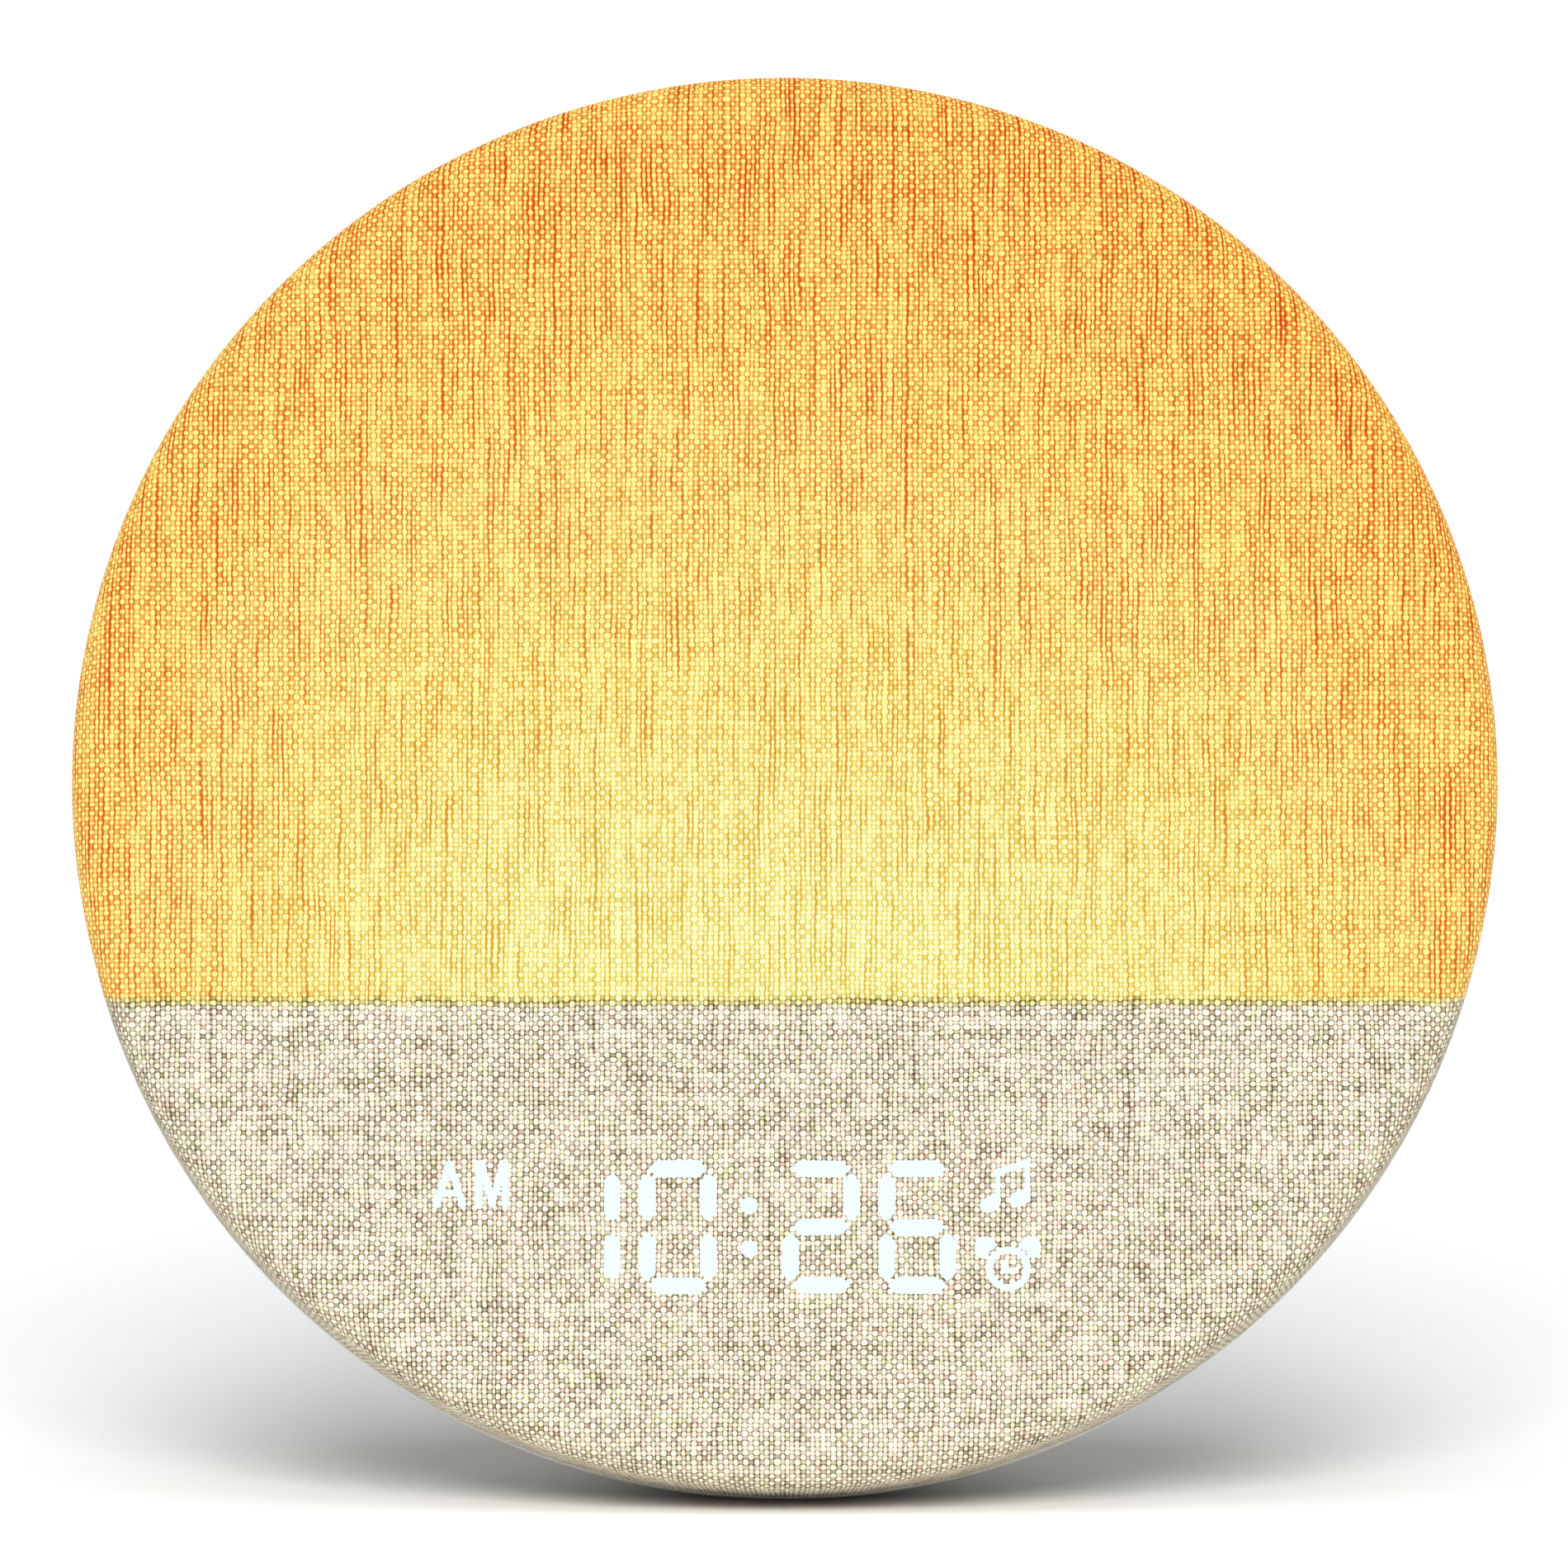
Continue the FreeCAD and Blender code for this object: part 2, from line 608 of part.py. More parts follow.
board_disc = rod("board_disc", "board_radius", ("board_front", BOARD_BACK))
board_notch = rod("board_notch_tool", "board_notch", ("0", LARGE), "0", "-speaker_drop")
board_mouth = centred_block("board_mouth", "0", "-50", "2 * board_notch", "52", ("0", LARGE))
board_holes = [rod(f"board_hole{i}", "post_bore", ("0", LARGE), x, z)
               for i, (x, z) in enumerate(post_places)]
node("main_board", cut("board_cut", board_disc, [board_notch, board_mouth] + board_holes))
node("board_screws", group("board_screw_set", [
    screw(f"board_screw{i}", x, z, "2.2", "post_bore",
          ("board_front - 1.6", "board_front", "cover_front - 3"))
    for i, (x, z) in enumerate(post_places)]))

chip_sizes = [("34", "22", "10", "10", "1.4"), ("-34", "24", "5", "6", "1.6"),
              ("34", "-12", "4", "9", "1.2"), ("-36", "-14", "6", "6", "3")]
chips = [centred_block(f"chip{i}", x, z, wide, high, (f"board_front - {thick}", "board_front"))
         for i, (x, z, wide, high, thick) in enumerate(chip_sizes)]
chips += [rod(f"capacitor{i}", "2.5", ("board_front - 6", "board_front"), x, "-26")
          for i, x in enumerate(("-33", "33"))]
node("main_chips", group("chip_set", chips))
HOLDER_FLOOR = "board_front - 0.6"
holder_cup = cut("holder_cup", rod("holder_disc", "cell_radius + 1.6", ("board_front - 4.4", "board_front"),
                                   "0", "dial_height"),
                 [rod("holder_room", "cell_radius + 0.1", ("0", HOLDER_FLOOR), "0", "dial_height")])
node("cell_holder", group("holder", [holder_cup]))
node("coin_cell", group("cell", [
    rod("cell_disc", "cell_radius", (f"{HOLDER_FLOOR} - cell_thick", HOLDER_FLOOR), "0", "dial_height")]))

usb = ("usb_side", "-usb_drop")
node("usb_socket", cut("usb_shell", slot("usb_outer", *usb, "9.2", "3.4", (BOARD_BACK, "back_depth - 0.5")),
                       [slot("usb_hollow", *usb, "8.4", "2.6", (f"{BOARD_BACK} + 2.4", LARGE))]))
node("usb_tongue", group("tongue", [
    centred_block("tongue_block", *usb, "6.7", "0.7", (f"{BOARD_BACK} + 2.4", "back_depth - 1.6"))]))

# ---- loudspeaker, firing backwards through the grille ----

FLANGE_BACK = "flange_front + flange_thick"
CONE_RIM = "flange_front - 1.7"
speaker = {"up": "-speaker_drop"}
node("speaker_frame", turned("basket", [
    ("speaker_radius", FLANGE_BACK), ("speaker_radius", "flange_front"), ("23", "flange_front"),
    ("14.8", "basket_front"), ("7.8", "basket_front"), ("7.8", "basket_front + basket_sheet"),
    ("14.1", "basket_front + basket_sheet"), ("22.3", FLANGE_BACK)]), **speaker)
node("speaker_magnet", turned("magnet", [
    ("0", "magnet_front"), ("magnet_radius", "magnet_front"), ("magnet_radius", "basket_front"),
    ("coil_outer + 0.6", "basket_front"), ("coil_outer + 0.6", "basket_front - 3"),
    ("pole_radius", "basket_front - 3"), ("pole_radius", "45"), ("0", "45")]), **speaker)
node("voice_coil", turned("coil", [
    ("coil_inner", "basket_front - 1.5"), ("coil_outer", "basket_front - 1.5"),
    ("coil_outer", "coil_back"), ("coil_inner", "coil_back")]), **speaker)
node("speaker_cone", turned("cone", [
    ("coil_inner", "coil_back"), ("coil_outer", "coil_back"), ("cone_outer", CONE_RIM),
    ("cone_outer", f"{CONE_RIM} + cone_sheet"), ("coil_outer - 0.1", "coil_back + cone_sheet"),
    ("coil_inner", "coil_back + cone_sheet")]), **speaker)
node("dust_cap", turned("cap", [
    ("0", "51.5"), ("4.5", "50.9"), ("7.6", "49.6"), ("7.2", "49.3"), ("4.3", "50.4"),
    ("0", "51")]), **speaker)
node("speaker_surround", turned("surround", [
    ("cone_outer + 0.2", CONE_RIM), ("cone_outer + 0.2", f"{CONE_RIM} + cone_sheet"),
    ("20.6", "58.2"), ("21.8", "58.5"), ("21.8", "58"), ("21", "flange_front"),
    ("20.2", CONE_RIM)]), **speaker)
node("speaker_gasket", turned("seal", [
    ("flange_inner", FLANGE_BACK), ("speaker_radius", FLANGE_BACK),
    ("speaker_radius", "cover_front"), ("flange_inner", "cover_front")]), **speaker)

# ---- volume and brightness dial on its encoder ----

dial = {"up": "dial_height"}
encoder_raw = fuse("encoder_raw", [
    centred_block("encoder_block", "0", "0", "12", "12", (BOARD_BACK, "57.5")),
    rod("encoder_bush", "4.6", ("57.5", "back_depth"))])
node("encoder_body", cut("encoder_cut", encoder_raw, [
    rod("encoder_bore", "shaft_radius + shaft_gap", ("54", LARGE))]), **dial)
node("encoder_shaft", group("shaft", [
    rod("shaft_rod", "shaft_radius", ("54.4", "dial_back - 2"))]), **dial)
node("volume_dial", turned("dial_knob", [
    ("shaft_radius", "dial_front"), ("dial_radius", "dial_front"), ("dial_radius", "dial_back"),
    ("0", "dial_back"), ("0", "dial_back - 2"), ("shaft_radius", "dial_back - 2"),
], [("1.2", ("dial_radius", "dial_back"))]), **dial)

# ---- four push buttons, each a cap held behind the cover over a small switch ----

CAP_FLANGE_BACK = "cover_front - 0.3"
for name, (x, z) in button_places.items():
    node(name, turned(name + "_cap", [
        ("0", "56.6"), ("2", "56.6"), ("2", "58.3"), ("button_radius + flange_proud", "58.3"),
        ("button_radius + flange_proud", CAP_FLANGE_BACK), ("button_radius", CAP_FLANGE_BACK),
        ("button_radius", "button_back"), ("0", "button_back"),
    ], [("0.7", ("button_radius", "button_back"))]), right=x, up=z)
    node(name.replace("button", "plunger"), group(name + "_plunger", [
        rod(name + "_pin", "pin_radius", ("53.2", "56.6"))]), right=x, up=z)
node("tact_switches", group("tact_set", [
    cut(f"tact_{name}", centred_block(f"tact_{name}_case", x, z, "6", "6", (BOARD_BACK, "55.2")),
        [rod(f"tact_{name}_bore", "pin_bore", ("52.2", LARGE), x, z)])
    for name, (x, z) in button_places.items()]))

# ---- alarm on/off slide switch, with its knob at the left end of its travel ----

SLIDE_STEP = "cover_front + 1.5"

node("slide_switch_body", group("slide_case", [
    centred_block("slide_block", "0", "slide_height", "9", "5", (BOARD_BACK, "56.8"))]))
node("slide_knob", group("slide_grip", [
    fuse("slide_grip_all", [
        slot("slide_stem", "-slide_travel", "slide_height", "4", "2.8", ("57.1", SLIDE_STEP)),
        slot("slide_cap", "-slide_travel", "slide_height", "4.4", "3", (SLIDE_STEP, "64"))])]))

# ---- snooze bar on the crown of the bowl, over a switch on its own small board ----

outer_skin = turned("outer_skin", [
    ("0", "rim_depth"), ("housing_radius + snooze_proud", "rim_depth"),
    ("housing_radius + snooze_proud", "shoulder_depth"),
    ("back_radius + snooze_proud", "back_depth"), ("0", "back_depth"),
], [("shoulder_round", ("housing_radius + snooze_proud", "shoulder_depth"))])
inner_skin = turned("inner_skin", [
    ("0", "0"), ("housing_radius - snooze_wall", "0"),
    ("housing_radius - snooze_wall", "shoulder_depth - 1"),
    ("back_radius - snooze_wall", "back_depth - 1"), ("back_radius - snooze_wall", "back_depth + 5"),
    ("0", "back_depth + 5"),
], [("shoulder_round", ("housing_radius - snooze_wall", "shoulder_depth - 1"))])
snooze_column = upright_slot("snooze_column", "snooze_half", "snooze_front", "snooze_back",
                             ("70", LARGE))
node("snooze_button", cut("snooze_cut", common("snooze_cap", outer_skin, snooze_column), [inner_skin]))
SNOOZE_MIDDLE = "(snooze_front + snooze_back) / 2"
node("snooze_plunger", group("snooze_pin", [
    pin("snooze_pin_rod", "pin_radius", ("71.6", "79.4"), "0", SNOOZE_MIDDLE)]))
snooze_case = block("snooze_case", ("-3", "3"), (f"{SNOOZE_MIDDLE} - 3", f"{SNOOZE_MIDDLE} + 3"),
                    ("69.5", "73.5"))
node("snooze_switch", cut("snooze_switch_cut", snooze_case, [
    pin("snooze_bore", "pin_bore", ("70.2", LARGE), "0", SNOOZE_MIDDLE)]))
node("snooze_board", group("snooze_plate", [
    block("snooze_plate_block", ("-12", "12"), ("22.5", "34"), ("67.9", "69.5"))]))


# ---- internal leads, with the sockets that they plug into ----

def lead(name, radius, route):
    """A round lead along straight runs joined by arcs as large as the runs allow."""
    points = [Vector(*point) for point in route]
    edges = []
    start = points[0]
    for before, corner, after in zip(points, points[1:], points[2:]):
        reach = 0.45 * min((before - corner).Length, (after - corner).Length)
        back = (before - corner).normalize()
        ahead = (after - corner).normalize()
        half_corner = back.getAngle(ahead) / 2
        bend = reach * math.tan(half_corner)
        inward = (back + ahead).normalize()
        middle = corner + inward * (reach / math.cos(half_corner) - bend)
        print(f"{name}: bend radius {bend:.1f} mm")
        edges.append(Part.LineSegment(start, corner + back * reach).toShape())
        edges.append(Part.Arc(corner + back * reach, middle, corner + ahead * reach).toShape())
        start = corner + ahead * reach
    edges.append(Part.LineSegment(start, points[-1]).toShape())
    path = Part.Wire(edges)
    ring = Part.Wire([Part.makeCircle(radius, points[0], points[1] - points[0])])
    thing = doc.addObject("Part::Feature", name + "_tube")
    thing.Shape = path.makePipeShell([ring], True, False)
    area = math.pi * radius ** 2
    print(f"{name}: volume {thing.Shape.Volume:.1f}, section times length {area * path.Length:.1f}")
    return node(name, thing)


lamp_end, board_end = number("tray_back + 4"), number("board_front - 5")
lamp_side, lamp_drop = number(lamp_socket_side), number("lamp_board_drop")
display_end = number("display_back + board_thick + 5")
lead("lamp_cable", 1.2, [
    (lamp_side, lamp_end, -lamp_drop), (31, 31, -16), (27, 38, 0), (22, board_end - 4, 9),
    (22, board_end, 10)])
lead("display_cable", 1.2, [
    (-30, display_end, -50), (-31, 24, -49), (-36, 31, -36), (-36, 37, -16),
    (-29, board_end - 4, 1), (-28, board_end, 2)])
lead("speaker_leads", 0.8, [
    (-15.2, 44, -13), (-19, 42, -9), (-23, board_end - 1, -2), (-24, board_end + 1, 0.5)])

board_sockets = [("22", "10"), ("-28", "2")]
node("cable_sockets", group("socket_set", [
    centred_block(f"board_socket{i}", x, z, "6", "4", ("board_front - 5", "board_front"))
    for i, (x, z) in enumerate(board_sockets)] + [
    centred_block("lamp_socket", lamp_socket_side, "-lamp_board_drop", "8", "4",
                  (tray_floor, "tray_back + 4")),
    centred_block("display_socket", "-30", "-50", "8", "4",
                  ("display_back + board_thick", "display_back + board_thick + 5"))]))

# ---- check every object and write each piece ----

doc.recompute()
failed = [thing.Name for thing in doc.Objects if {"Invalid", "Error"} & set(thing.State)]
if failed:
    raise RuntimeError(f"failed objects: {failed}")
for thing in nodes:
    if thing.Shape.isNull() or not thing.Shape.isValid() or not thing.Shape.Solids:
        raise RuntimeError(f"{thing.Label} has no good shape")
os.makedirs("parts", exist_ok=True)
for thing in nodes:
    thing.Shape.exportStep(f"parts/{thing.Label}.step")
print(f"{len(nodes)} nodes written")
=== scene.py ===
import json
import math

import bmesh
import bpy
from mathutils import Matrix, Vector, noise


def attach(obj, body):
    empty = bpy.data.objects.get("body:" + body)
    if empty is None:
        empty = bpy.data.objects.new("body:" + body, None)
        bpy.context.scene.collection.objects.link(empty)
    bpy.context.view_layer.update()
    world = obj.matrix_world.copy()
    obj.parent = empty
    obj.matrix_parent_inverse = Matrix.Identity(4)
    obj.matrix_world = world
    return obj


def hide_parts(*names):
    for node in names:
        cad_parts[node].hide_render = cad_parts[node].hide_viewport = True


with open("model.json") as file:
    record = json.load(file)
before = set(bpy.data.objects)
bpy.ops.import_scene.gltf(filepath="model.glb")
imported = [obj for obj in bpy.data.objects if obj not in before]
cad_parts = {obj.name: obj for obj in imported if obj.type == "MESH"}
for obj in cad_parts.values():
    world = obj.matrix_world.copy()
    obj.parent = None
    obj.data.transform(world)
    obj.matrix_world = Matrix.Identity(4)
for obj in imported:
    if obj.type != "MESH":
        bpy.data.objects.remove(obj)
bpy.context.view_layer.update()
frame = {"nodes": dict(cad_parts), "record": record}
cad = frame["nodes"]
MM = 0.001

# ---- the clock's own upright frame ----
# The face leans back, so pieces are drawn upright in millimetres, with X to the right, Y into the
# clock and Z up from the middle of the cloth's front, and then tipped into place by this frame.
# The loudspeaker's axis gives the lean, and the cloth's solid gives the face's middle and size.

joints = {joint["name"]: joint for joint in frame["record"]["behaviour"]["joints"]}
into = Vector(joints["cone_travel"]["axis"]).normalized()
right = Vector((1, 0, 0))
up = right.cross(into)
cloth_points = [vertex.co.copy() for vertex in cad["fabric_cover"].data.vertices]
heights = [point.dot(up) for point in cloth_points]
depths = [point.dot(into) for point in cloth_points]
FACE_RADIUS = (max(heights) - min(heights)) / 2 / MM
RIM_DEPTH = (max(depths) - min(depths)) / MM
face_middle = up * (max(heights) + min(heights)) / 2 + into * min(depths)
upright = Matrix((right, into, up)).transposed().to_4x4()
FACE = Matrix.Translation(face_middle) @ upright @ Matrix.Scale(MM, 4)


def on_face(point):
    """A place of the world, in the upright frame's millimetres."""
    return FACE.inverted() @ Vector(point)


def finish_piece(name, mesh, body, materials, smooth=True, placed=FACE):
    """Turns a bmesh drawn in the upright frame into an object of the scene that rides on a body."""
    data = bpy.data.meshes.new(name)
    mesh.transform(placed)
    mesh.to_mesh(data)
    mesh.free()
    for material in materials:
        data.materials.append(material)
    for polygon in data.polygons:
        polygon.use_smooth = smooth
    piece = bpy.data.objects.new(name, data)
    bpy.context.scene.collection.objects.link(piece)
    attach(piece, body)
    return piece


# ---- camera and studio ----
# A long lens looks almost level at the face from the front. Two broad soft suns, one in front of
# the clock and one over it, an even sky and a pale floor without an end stand in for the studio.

CAMERA_DISTANCE = 3.0
CAMERA_RISE = math.radians(6.0)
FACES_IN_FRAME = 1.0983
FRAME_WIDTH = FACE_RADIUS * MM * 2 * FACES_IN_FRAME
AIM_SHIFT = Vector((-0.0001, 0, -0.0009))
SKY_STRENGTH = 0.3

camera = bpy.data.objects.new("camera", bpy.data.cameras.new("camera"))
bpy.context.scene.collection.objects.link(camera)
bpy.context.scene.camera = camera
camera.data.lens = camera.data.sensor_width * CAMERA_DISTANCE / FRAME_WIDTH
camera.data.clip_end = 60.0
view_from = Vector((0, -math.cos(CAMERA_RISE), math.sin(CAMERA_RISE)))
aim = face_middle + AIM_SHIFT
camera.location = aim + view_from * CAMERA_DISTANCE
camera.rotation_euler = (-view_from).to_track_quat("-Z", "Y").to_euler()


def sun(name, strength, softness, azimuth, rise, colour):
    """A broad sun: azimuth 0 stands in front of the clock, 90 to its right."""
    lamp = bpy.data.lights.new(name, "SUN")
    lamp.energy = strength
    lamp.angle = math.radians(softness)
    lamp.color = colour
    item = bpy.data.objects.new(name, lamp)
    side, height = math.radians(azimuth), math.radians(rise)
    come_from = Vector((math.sin(side) * math.cos(height), -math.cos(side) * math.cos(height),
                        math.sin(height)))
    item.rotation_euler = come_from.to_track_quat("Z", "Y").to_euler()
    item.location = come_from
    bpy.context.scene.collection.objects.link(item)


sun("key_light", strength=2.3, softness=32, azimuth=0, rise=36, colour=(1.0, 0.995, 0.985))
sun("overhead_light", strength=1.3, softness=50, azimuth=0, rise=80,
    colour=(0.97, 0.985, 1.0))

sky = bpy.data.worlds.new("studio")
bpy.context.scene.world = sky
sky.use_nodes = True
sky.node_tree.nodes["Background"].inputs["Color"].default_value = (1.0, 1.0, 1.0, 1.0)
sky.node_tree.nodes["Background"].inputs["Strength"].default_value = SKY_STRENGTH
bpy.context.scene.view_settings.view_transform = "Standard"

# ---- the cloth front ----
# Linen-look polyester in a plain weave, stretched over a ring and turned in behind it. The glow of
# the lamp behind an opal panel on the upper part, and the clock's display shining through the
# lower part, are painted into the cloth's colour and emission. The cloth is one sheet, 0.7 mm
# thick, held by the screws of the hem.


class Wire:
    """A value in a material's nodes. Arithmetic on it adds Math nodes to the same tree."""

    def __init__(self, tree, socket):
        self.tree = tree
        self.socket = socket

    def math(self, operation, *others):
        node = self.tree.nodes.new("ShaderNodeMath")
        node.operation = operation
        for place, value in zip(node.inputs, (self, *others)):
            connect(place, value)
        return Wire(self.tree, node.outputs[0])

    def __add__(self, other):
        return self.math("ADD", other)

    def __sub__(self, other):
        return self.math("SUBTRACT", other)

    def __mul__(self, other):
        return self.math("MULTIPLY", other)

    def __truediv__(self, other):
        return self.math("DIVIDE", other)

    __radd__, __rmul__ = __add__, __mul__

    def swing(self, amount):
        """How far a value from 0 to 1 lies from its middle, times an amount."""
        return (self - 0.5) * amount

    def ease(self, low, high):
        """Rises smoothly from 0 at low to 1 at high."""
        node = self.tree.nodes.new("ShaderNodeMapRange")
        node.interpolation_type = "SMOOTHSTEP"
        for place, value in zip(node.inputs, (self, low, high, 0.0, 1.0)):
            connect(place, value)
        return Wire(self.tree, node.outputs[0])


def connect(place, value):
    """Sets a node's socket to a plain value, or links a wire to it."""
    if isinstance(value, Wire):
        value.tree.links.new(value.socket, place)
    else:
        place.default_value = value


class Finish:
    """A material in the making: its Principled shader, and one short call for each kind of node."""

    def __init__(self, name, **plain):
        self.material = bpy.data.materials.new(name)
        self.material.use_nodes = True
        self.tree = self.material.node_tree
        self.shader = self.tree.nodes["Principled BSDF"]
        for socket, value in plain.items():
            self.shader.inputs[socket.replace("_", " ")].default_value = value

    def new(self, kind, **settings):
        node = self.tree.nodes.new(kind)
        for setting, value in settings.items():
            setattr(node, setting, value)
        return node

    def wire(self, socket):
        return Wire(self.tree, socket)

    def place(self, scale=1000.0):
        """Object coordinates, in millimetres unless another scale is asked for."""
        node = self.new("ShaderNodeVectorMath", operation="SCALE")
        self.tree.links.new(self.new("ShaderNodeTexCoord").outputs["Object"], node.inputs[0])
        node.inputs["Scale"].default_value = scale
        return self.wire(node.outputs[0])

    def attribute(self, name, output):
        return self.wire(self.new("ShaderNodeAttribute", attribute_name=name).outputs[output])

    def split(self, vector):
        node = self.new("ShaderNodeSeparateXYZ")
        connect(node.inputs[0], vector)
        return [self.wire(socket) for socket in node.outputs]

    def join(self, x, y, z):
        node = self.new("ShaderNodeCombineXYZ")
        for place, value in zip(node.inputs, (x, y, z)):
            connect(place, value)
        return self.wire(node.outputs[0])

    def noise(self, vector, scale=1.0, detail=2.0, roughness=0.5):
        node = self.new("ShaderNodeTexNoise")
        connect(node.inputs["Vector"], vector)
        node.inputs["Scale"].default_value = scale
        node.inputs["Detail"].default_value = detail
        node.inputs["Roughness"].default_value = roughness
        return self.wire(node.outputs[0])

    def chance(self, x, y, seed):
        """A random value from 0 to 1 for each whole x and y."""
        node = self.new("ShaderNodeTexWhiteNoise", noise_dimensions="3D")
        connect(node.inputs["Vector"], self.join(x, y, seed))
        return self.wire(node.outputs["Value"])

    def mix(self, factor, first, second, way="MIX"):
        node = self.new("ShaderNodeMix", data_type="RGBA", blend_type=way, clamp_factor=True)
        for place, value in zip((node.inputs[0], node.inputs[6], node.inputs[7]),
                                (factor, first, second)):
            connect(place, value)
        return self.wire(node.outputs[2])

    def ramp(self, factor, stops):
        node = self.new("ShaderNodeValToRGB")
        connect(node.inputs[0], factor)
        elements = node.color_ramp.elements
        while len(elements) < len(stops):
            elements.new(0.5)
        for element, (position, colour) in zip(elements, stops):
            element.position = position
            element.color = colour
        return self.wire(node.outputs[0])

    def bump(self, height, strength, distance):
        node = self.new("ShaderNodeBump")
        connect(node.inputs["Height"], height)
        node.inputs["Strength"].default_value = strength
        node.inputs["Distance"].default_value = distance
        self.tree.links.new(node.outputs[0], self.shader.inputs["Normal"])

    def set(self, socket, value):
        connect(self.shader.inputs[socket], value)

    def dress(self, *slots):
        """Gives this finish to every CAD node that the record lists under these slots."""
        for part in frame["record"]["subparts"]:
            if part["material_slot"] in slots:
                materials = cad[part["node"]].data.materials
                materials.clear()
                materials.append(self.material)


def screen_colour(red, green, blue, dim=1.0):
    """A colour given in screen values from 0 to 255, as the linear colour that nodes take."""
    return tuple(dim * ((c / 255 + 0.055) / 1.055) ** 2.4 for c in (red, green, blue)) + (1.0,)


RIM_ROUND = 4.0
FOLD_ROUND = 0.8
HEM_WIDTH = 6.0
CLOTH_THICK = 0.7
DIVIDE = -27.95
FLAT_RADIUS = FACE_RADIUS - RIM_ROUND
RIM_REACH = FLAT_RADIUS + RIM_ROUND * math.pi / 2
FOLD_REACH = RIM_REACH + RIM_DEPTH - RIM_ROUND
CUT_RADIUS = FOLD_REACH + HEM_WIDTH
GRID_STEPS = 128
PUCKER_DEEP, PUCKER_START, PUCKER_RUN = 0.16, 5.0, 6.0
# the patch of cloth that is drawn finer, so the edges of the lit shapes are crisp
PATCH_X, PATCH_Z, PATCH_CUTS = (-46, 34.5), (-66.5, -46), 5
FAR_FROM_DISPLAY = 9.0

# the display's middle line and the shapes on it, in millimetres from the face's middle
COLON = Vector((-4.4, -56.55))
DIGIT_PLACES = (-20.85, -8.9, 8.9, 20.85)
DIGITS = ("1", "0", "2", "6")
BAR_HALF = 1.02
BAR_TIP = -0.1
# each bar of a digit: its middle, half its length, and whether it stands upright
BARS = {
    "top": ((0, 7.3), 3.75, False),
    "middle": ((0, 0), 3.6, False),
    "bottom": ((0, -7.3), 3.75, False),
    "upper_left": ((-3.8, 3.75), 3.15, True),
    "upper_right": ((3.8, 3.75), 3.15, True),
    "lower_left": ((-3.8, -3.75), 3.15, True),
    "lower_right": ((3.8, -3.75), 3.15, True),
}
BARS_LIT = {
    "1": ("upper_right", "lower_right"),
    "0": ("top", "bottom", "upper_left", "upper_right", "lower_left", "lower_right"),
    "2": ("top", "upper_right", "middle", "lower_left", "bottom"),
    "6": ("top", "upper_left", "middle", "lower_left", "lower_right", "bottom"),
}
# strokes with round ends: from x, z to x, z and half the width
LETTERS = [
    (-43.35, -53.8, -41.7, -48.6, 0.44), (-41.7, -48.6, -40.05, -53.8, 0.44),
    (-42.5, -52.3, -40.9, -52.3, 0.38), (-38.0, -53.8, -38.0, -48.6, 0.44),
    (-34.8, -53.8, -34.8, -48.6, 0.44), (-37.7, -48.6, -36.4, -53.6, 0.42),
    (-36.4, -53.6, -35.1, -48.6, 0.42),
]
NOTE = [
    (26.5, -49.7, 26.5, -53.6, 0.32), (30.2, -48.6, 30.2, -52.8, 0.32),
    (26.55, -49.65, 30.15, -48.5, 0.42), (25.2, -53.85, 25.7, -53.6, 0.95),
    (28.9, -53.15, 29.4, -52.9, 0.95),
]
BELL_CLOCK = Vector((27.8, -61.75))
BELL_RING, BELL_RING_HALF = 2.36, 0.42
HANDS = [(27.35, -60.95, 27.35, -62.0, 0.36), (27.35, -62.0, 28.7, -62.0, 0.36)]
BELLS = [Vector((25.0, -59.15)), Vector((30.5, -59.15))]
BELL_RADIUS, BELL_CLEARANCE = 1.4, 0.75
COLON_RISE, COLON_DOT = 2.7, 1.05


def to_stroke(x, z, stroke):
    """Distance to a stroke with round ends, less than 0 inside it."""
    x1, z1, x2, z2, half = stroke
    along = ((x - x1) * (x2 - x1) + (z - z1) * (z2 - z1)) / ((x2 - x1) ** 2 + (z2 - z1) ** 2)
    along = min(1.0, max(0.0, along))
    return math.hypot(x - x1 - along * (x2 - x1), z - z1 - along * (z2 - z1)) - half


def to_ring(x, z, middle, radius, half):
    """Distance to a ring whose line is twice half wide."""
    return abs(math.hypot(x - middle.x, z - middle.y) - radius) - half


def to_bar(x, z, bar):
    """Distance to a digit's bar, which has a blunt point at each end."""
    (middle_x, middle_z), half_long, stands = bar
    long, wide = abs(x - middle_x), abs(z - middle_z)
    if stands:
        long, wide = wide, long
    return max(wide - BAR_HALF, long - half_long,
               (long + wide - half_long - BAR_TIP) * math.sqrt(0.5))


def to_display(x, z):
    """Distance to the nearest lit shape of the display."""
    nearest = [to_stroke(x, z, stroke) for stroke in LETTERS + NOTE + HANDS]
    nearest.append(to_ring(x, z, BELL_CLOCK, BELL_RING, BELL_RING_HALF))
    # the bells stop short of the ring they stand on
    past_ring = math.hypot(x - BELL_CLOCK.x, z - BELL_CLOCK.y) - BELL_RING - BELL_CLEARANCE
    for bell in BELLS:
        nearest.append(max(math.hypot(x - bell.x, z - bell.y) - BELL_RADIUS, -past_ring))
    for rise in (COLON_RISE, -COLON_RISE):
        nearest.append(math.hypot(x - COLON.x, z - COLON.y - rise) - COLON_DOT)
    for digit, place in zip(DIGITS, DIGIT_PLACES):
        for bar in BARS_LIT[digit]:
            nearest.append(to_bar(x - COLON.x - place, z - COLON.y, BARS[bar]))
    return min(nearest)


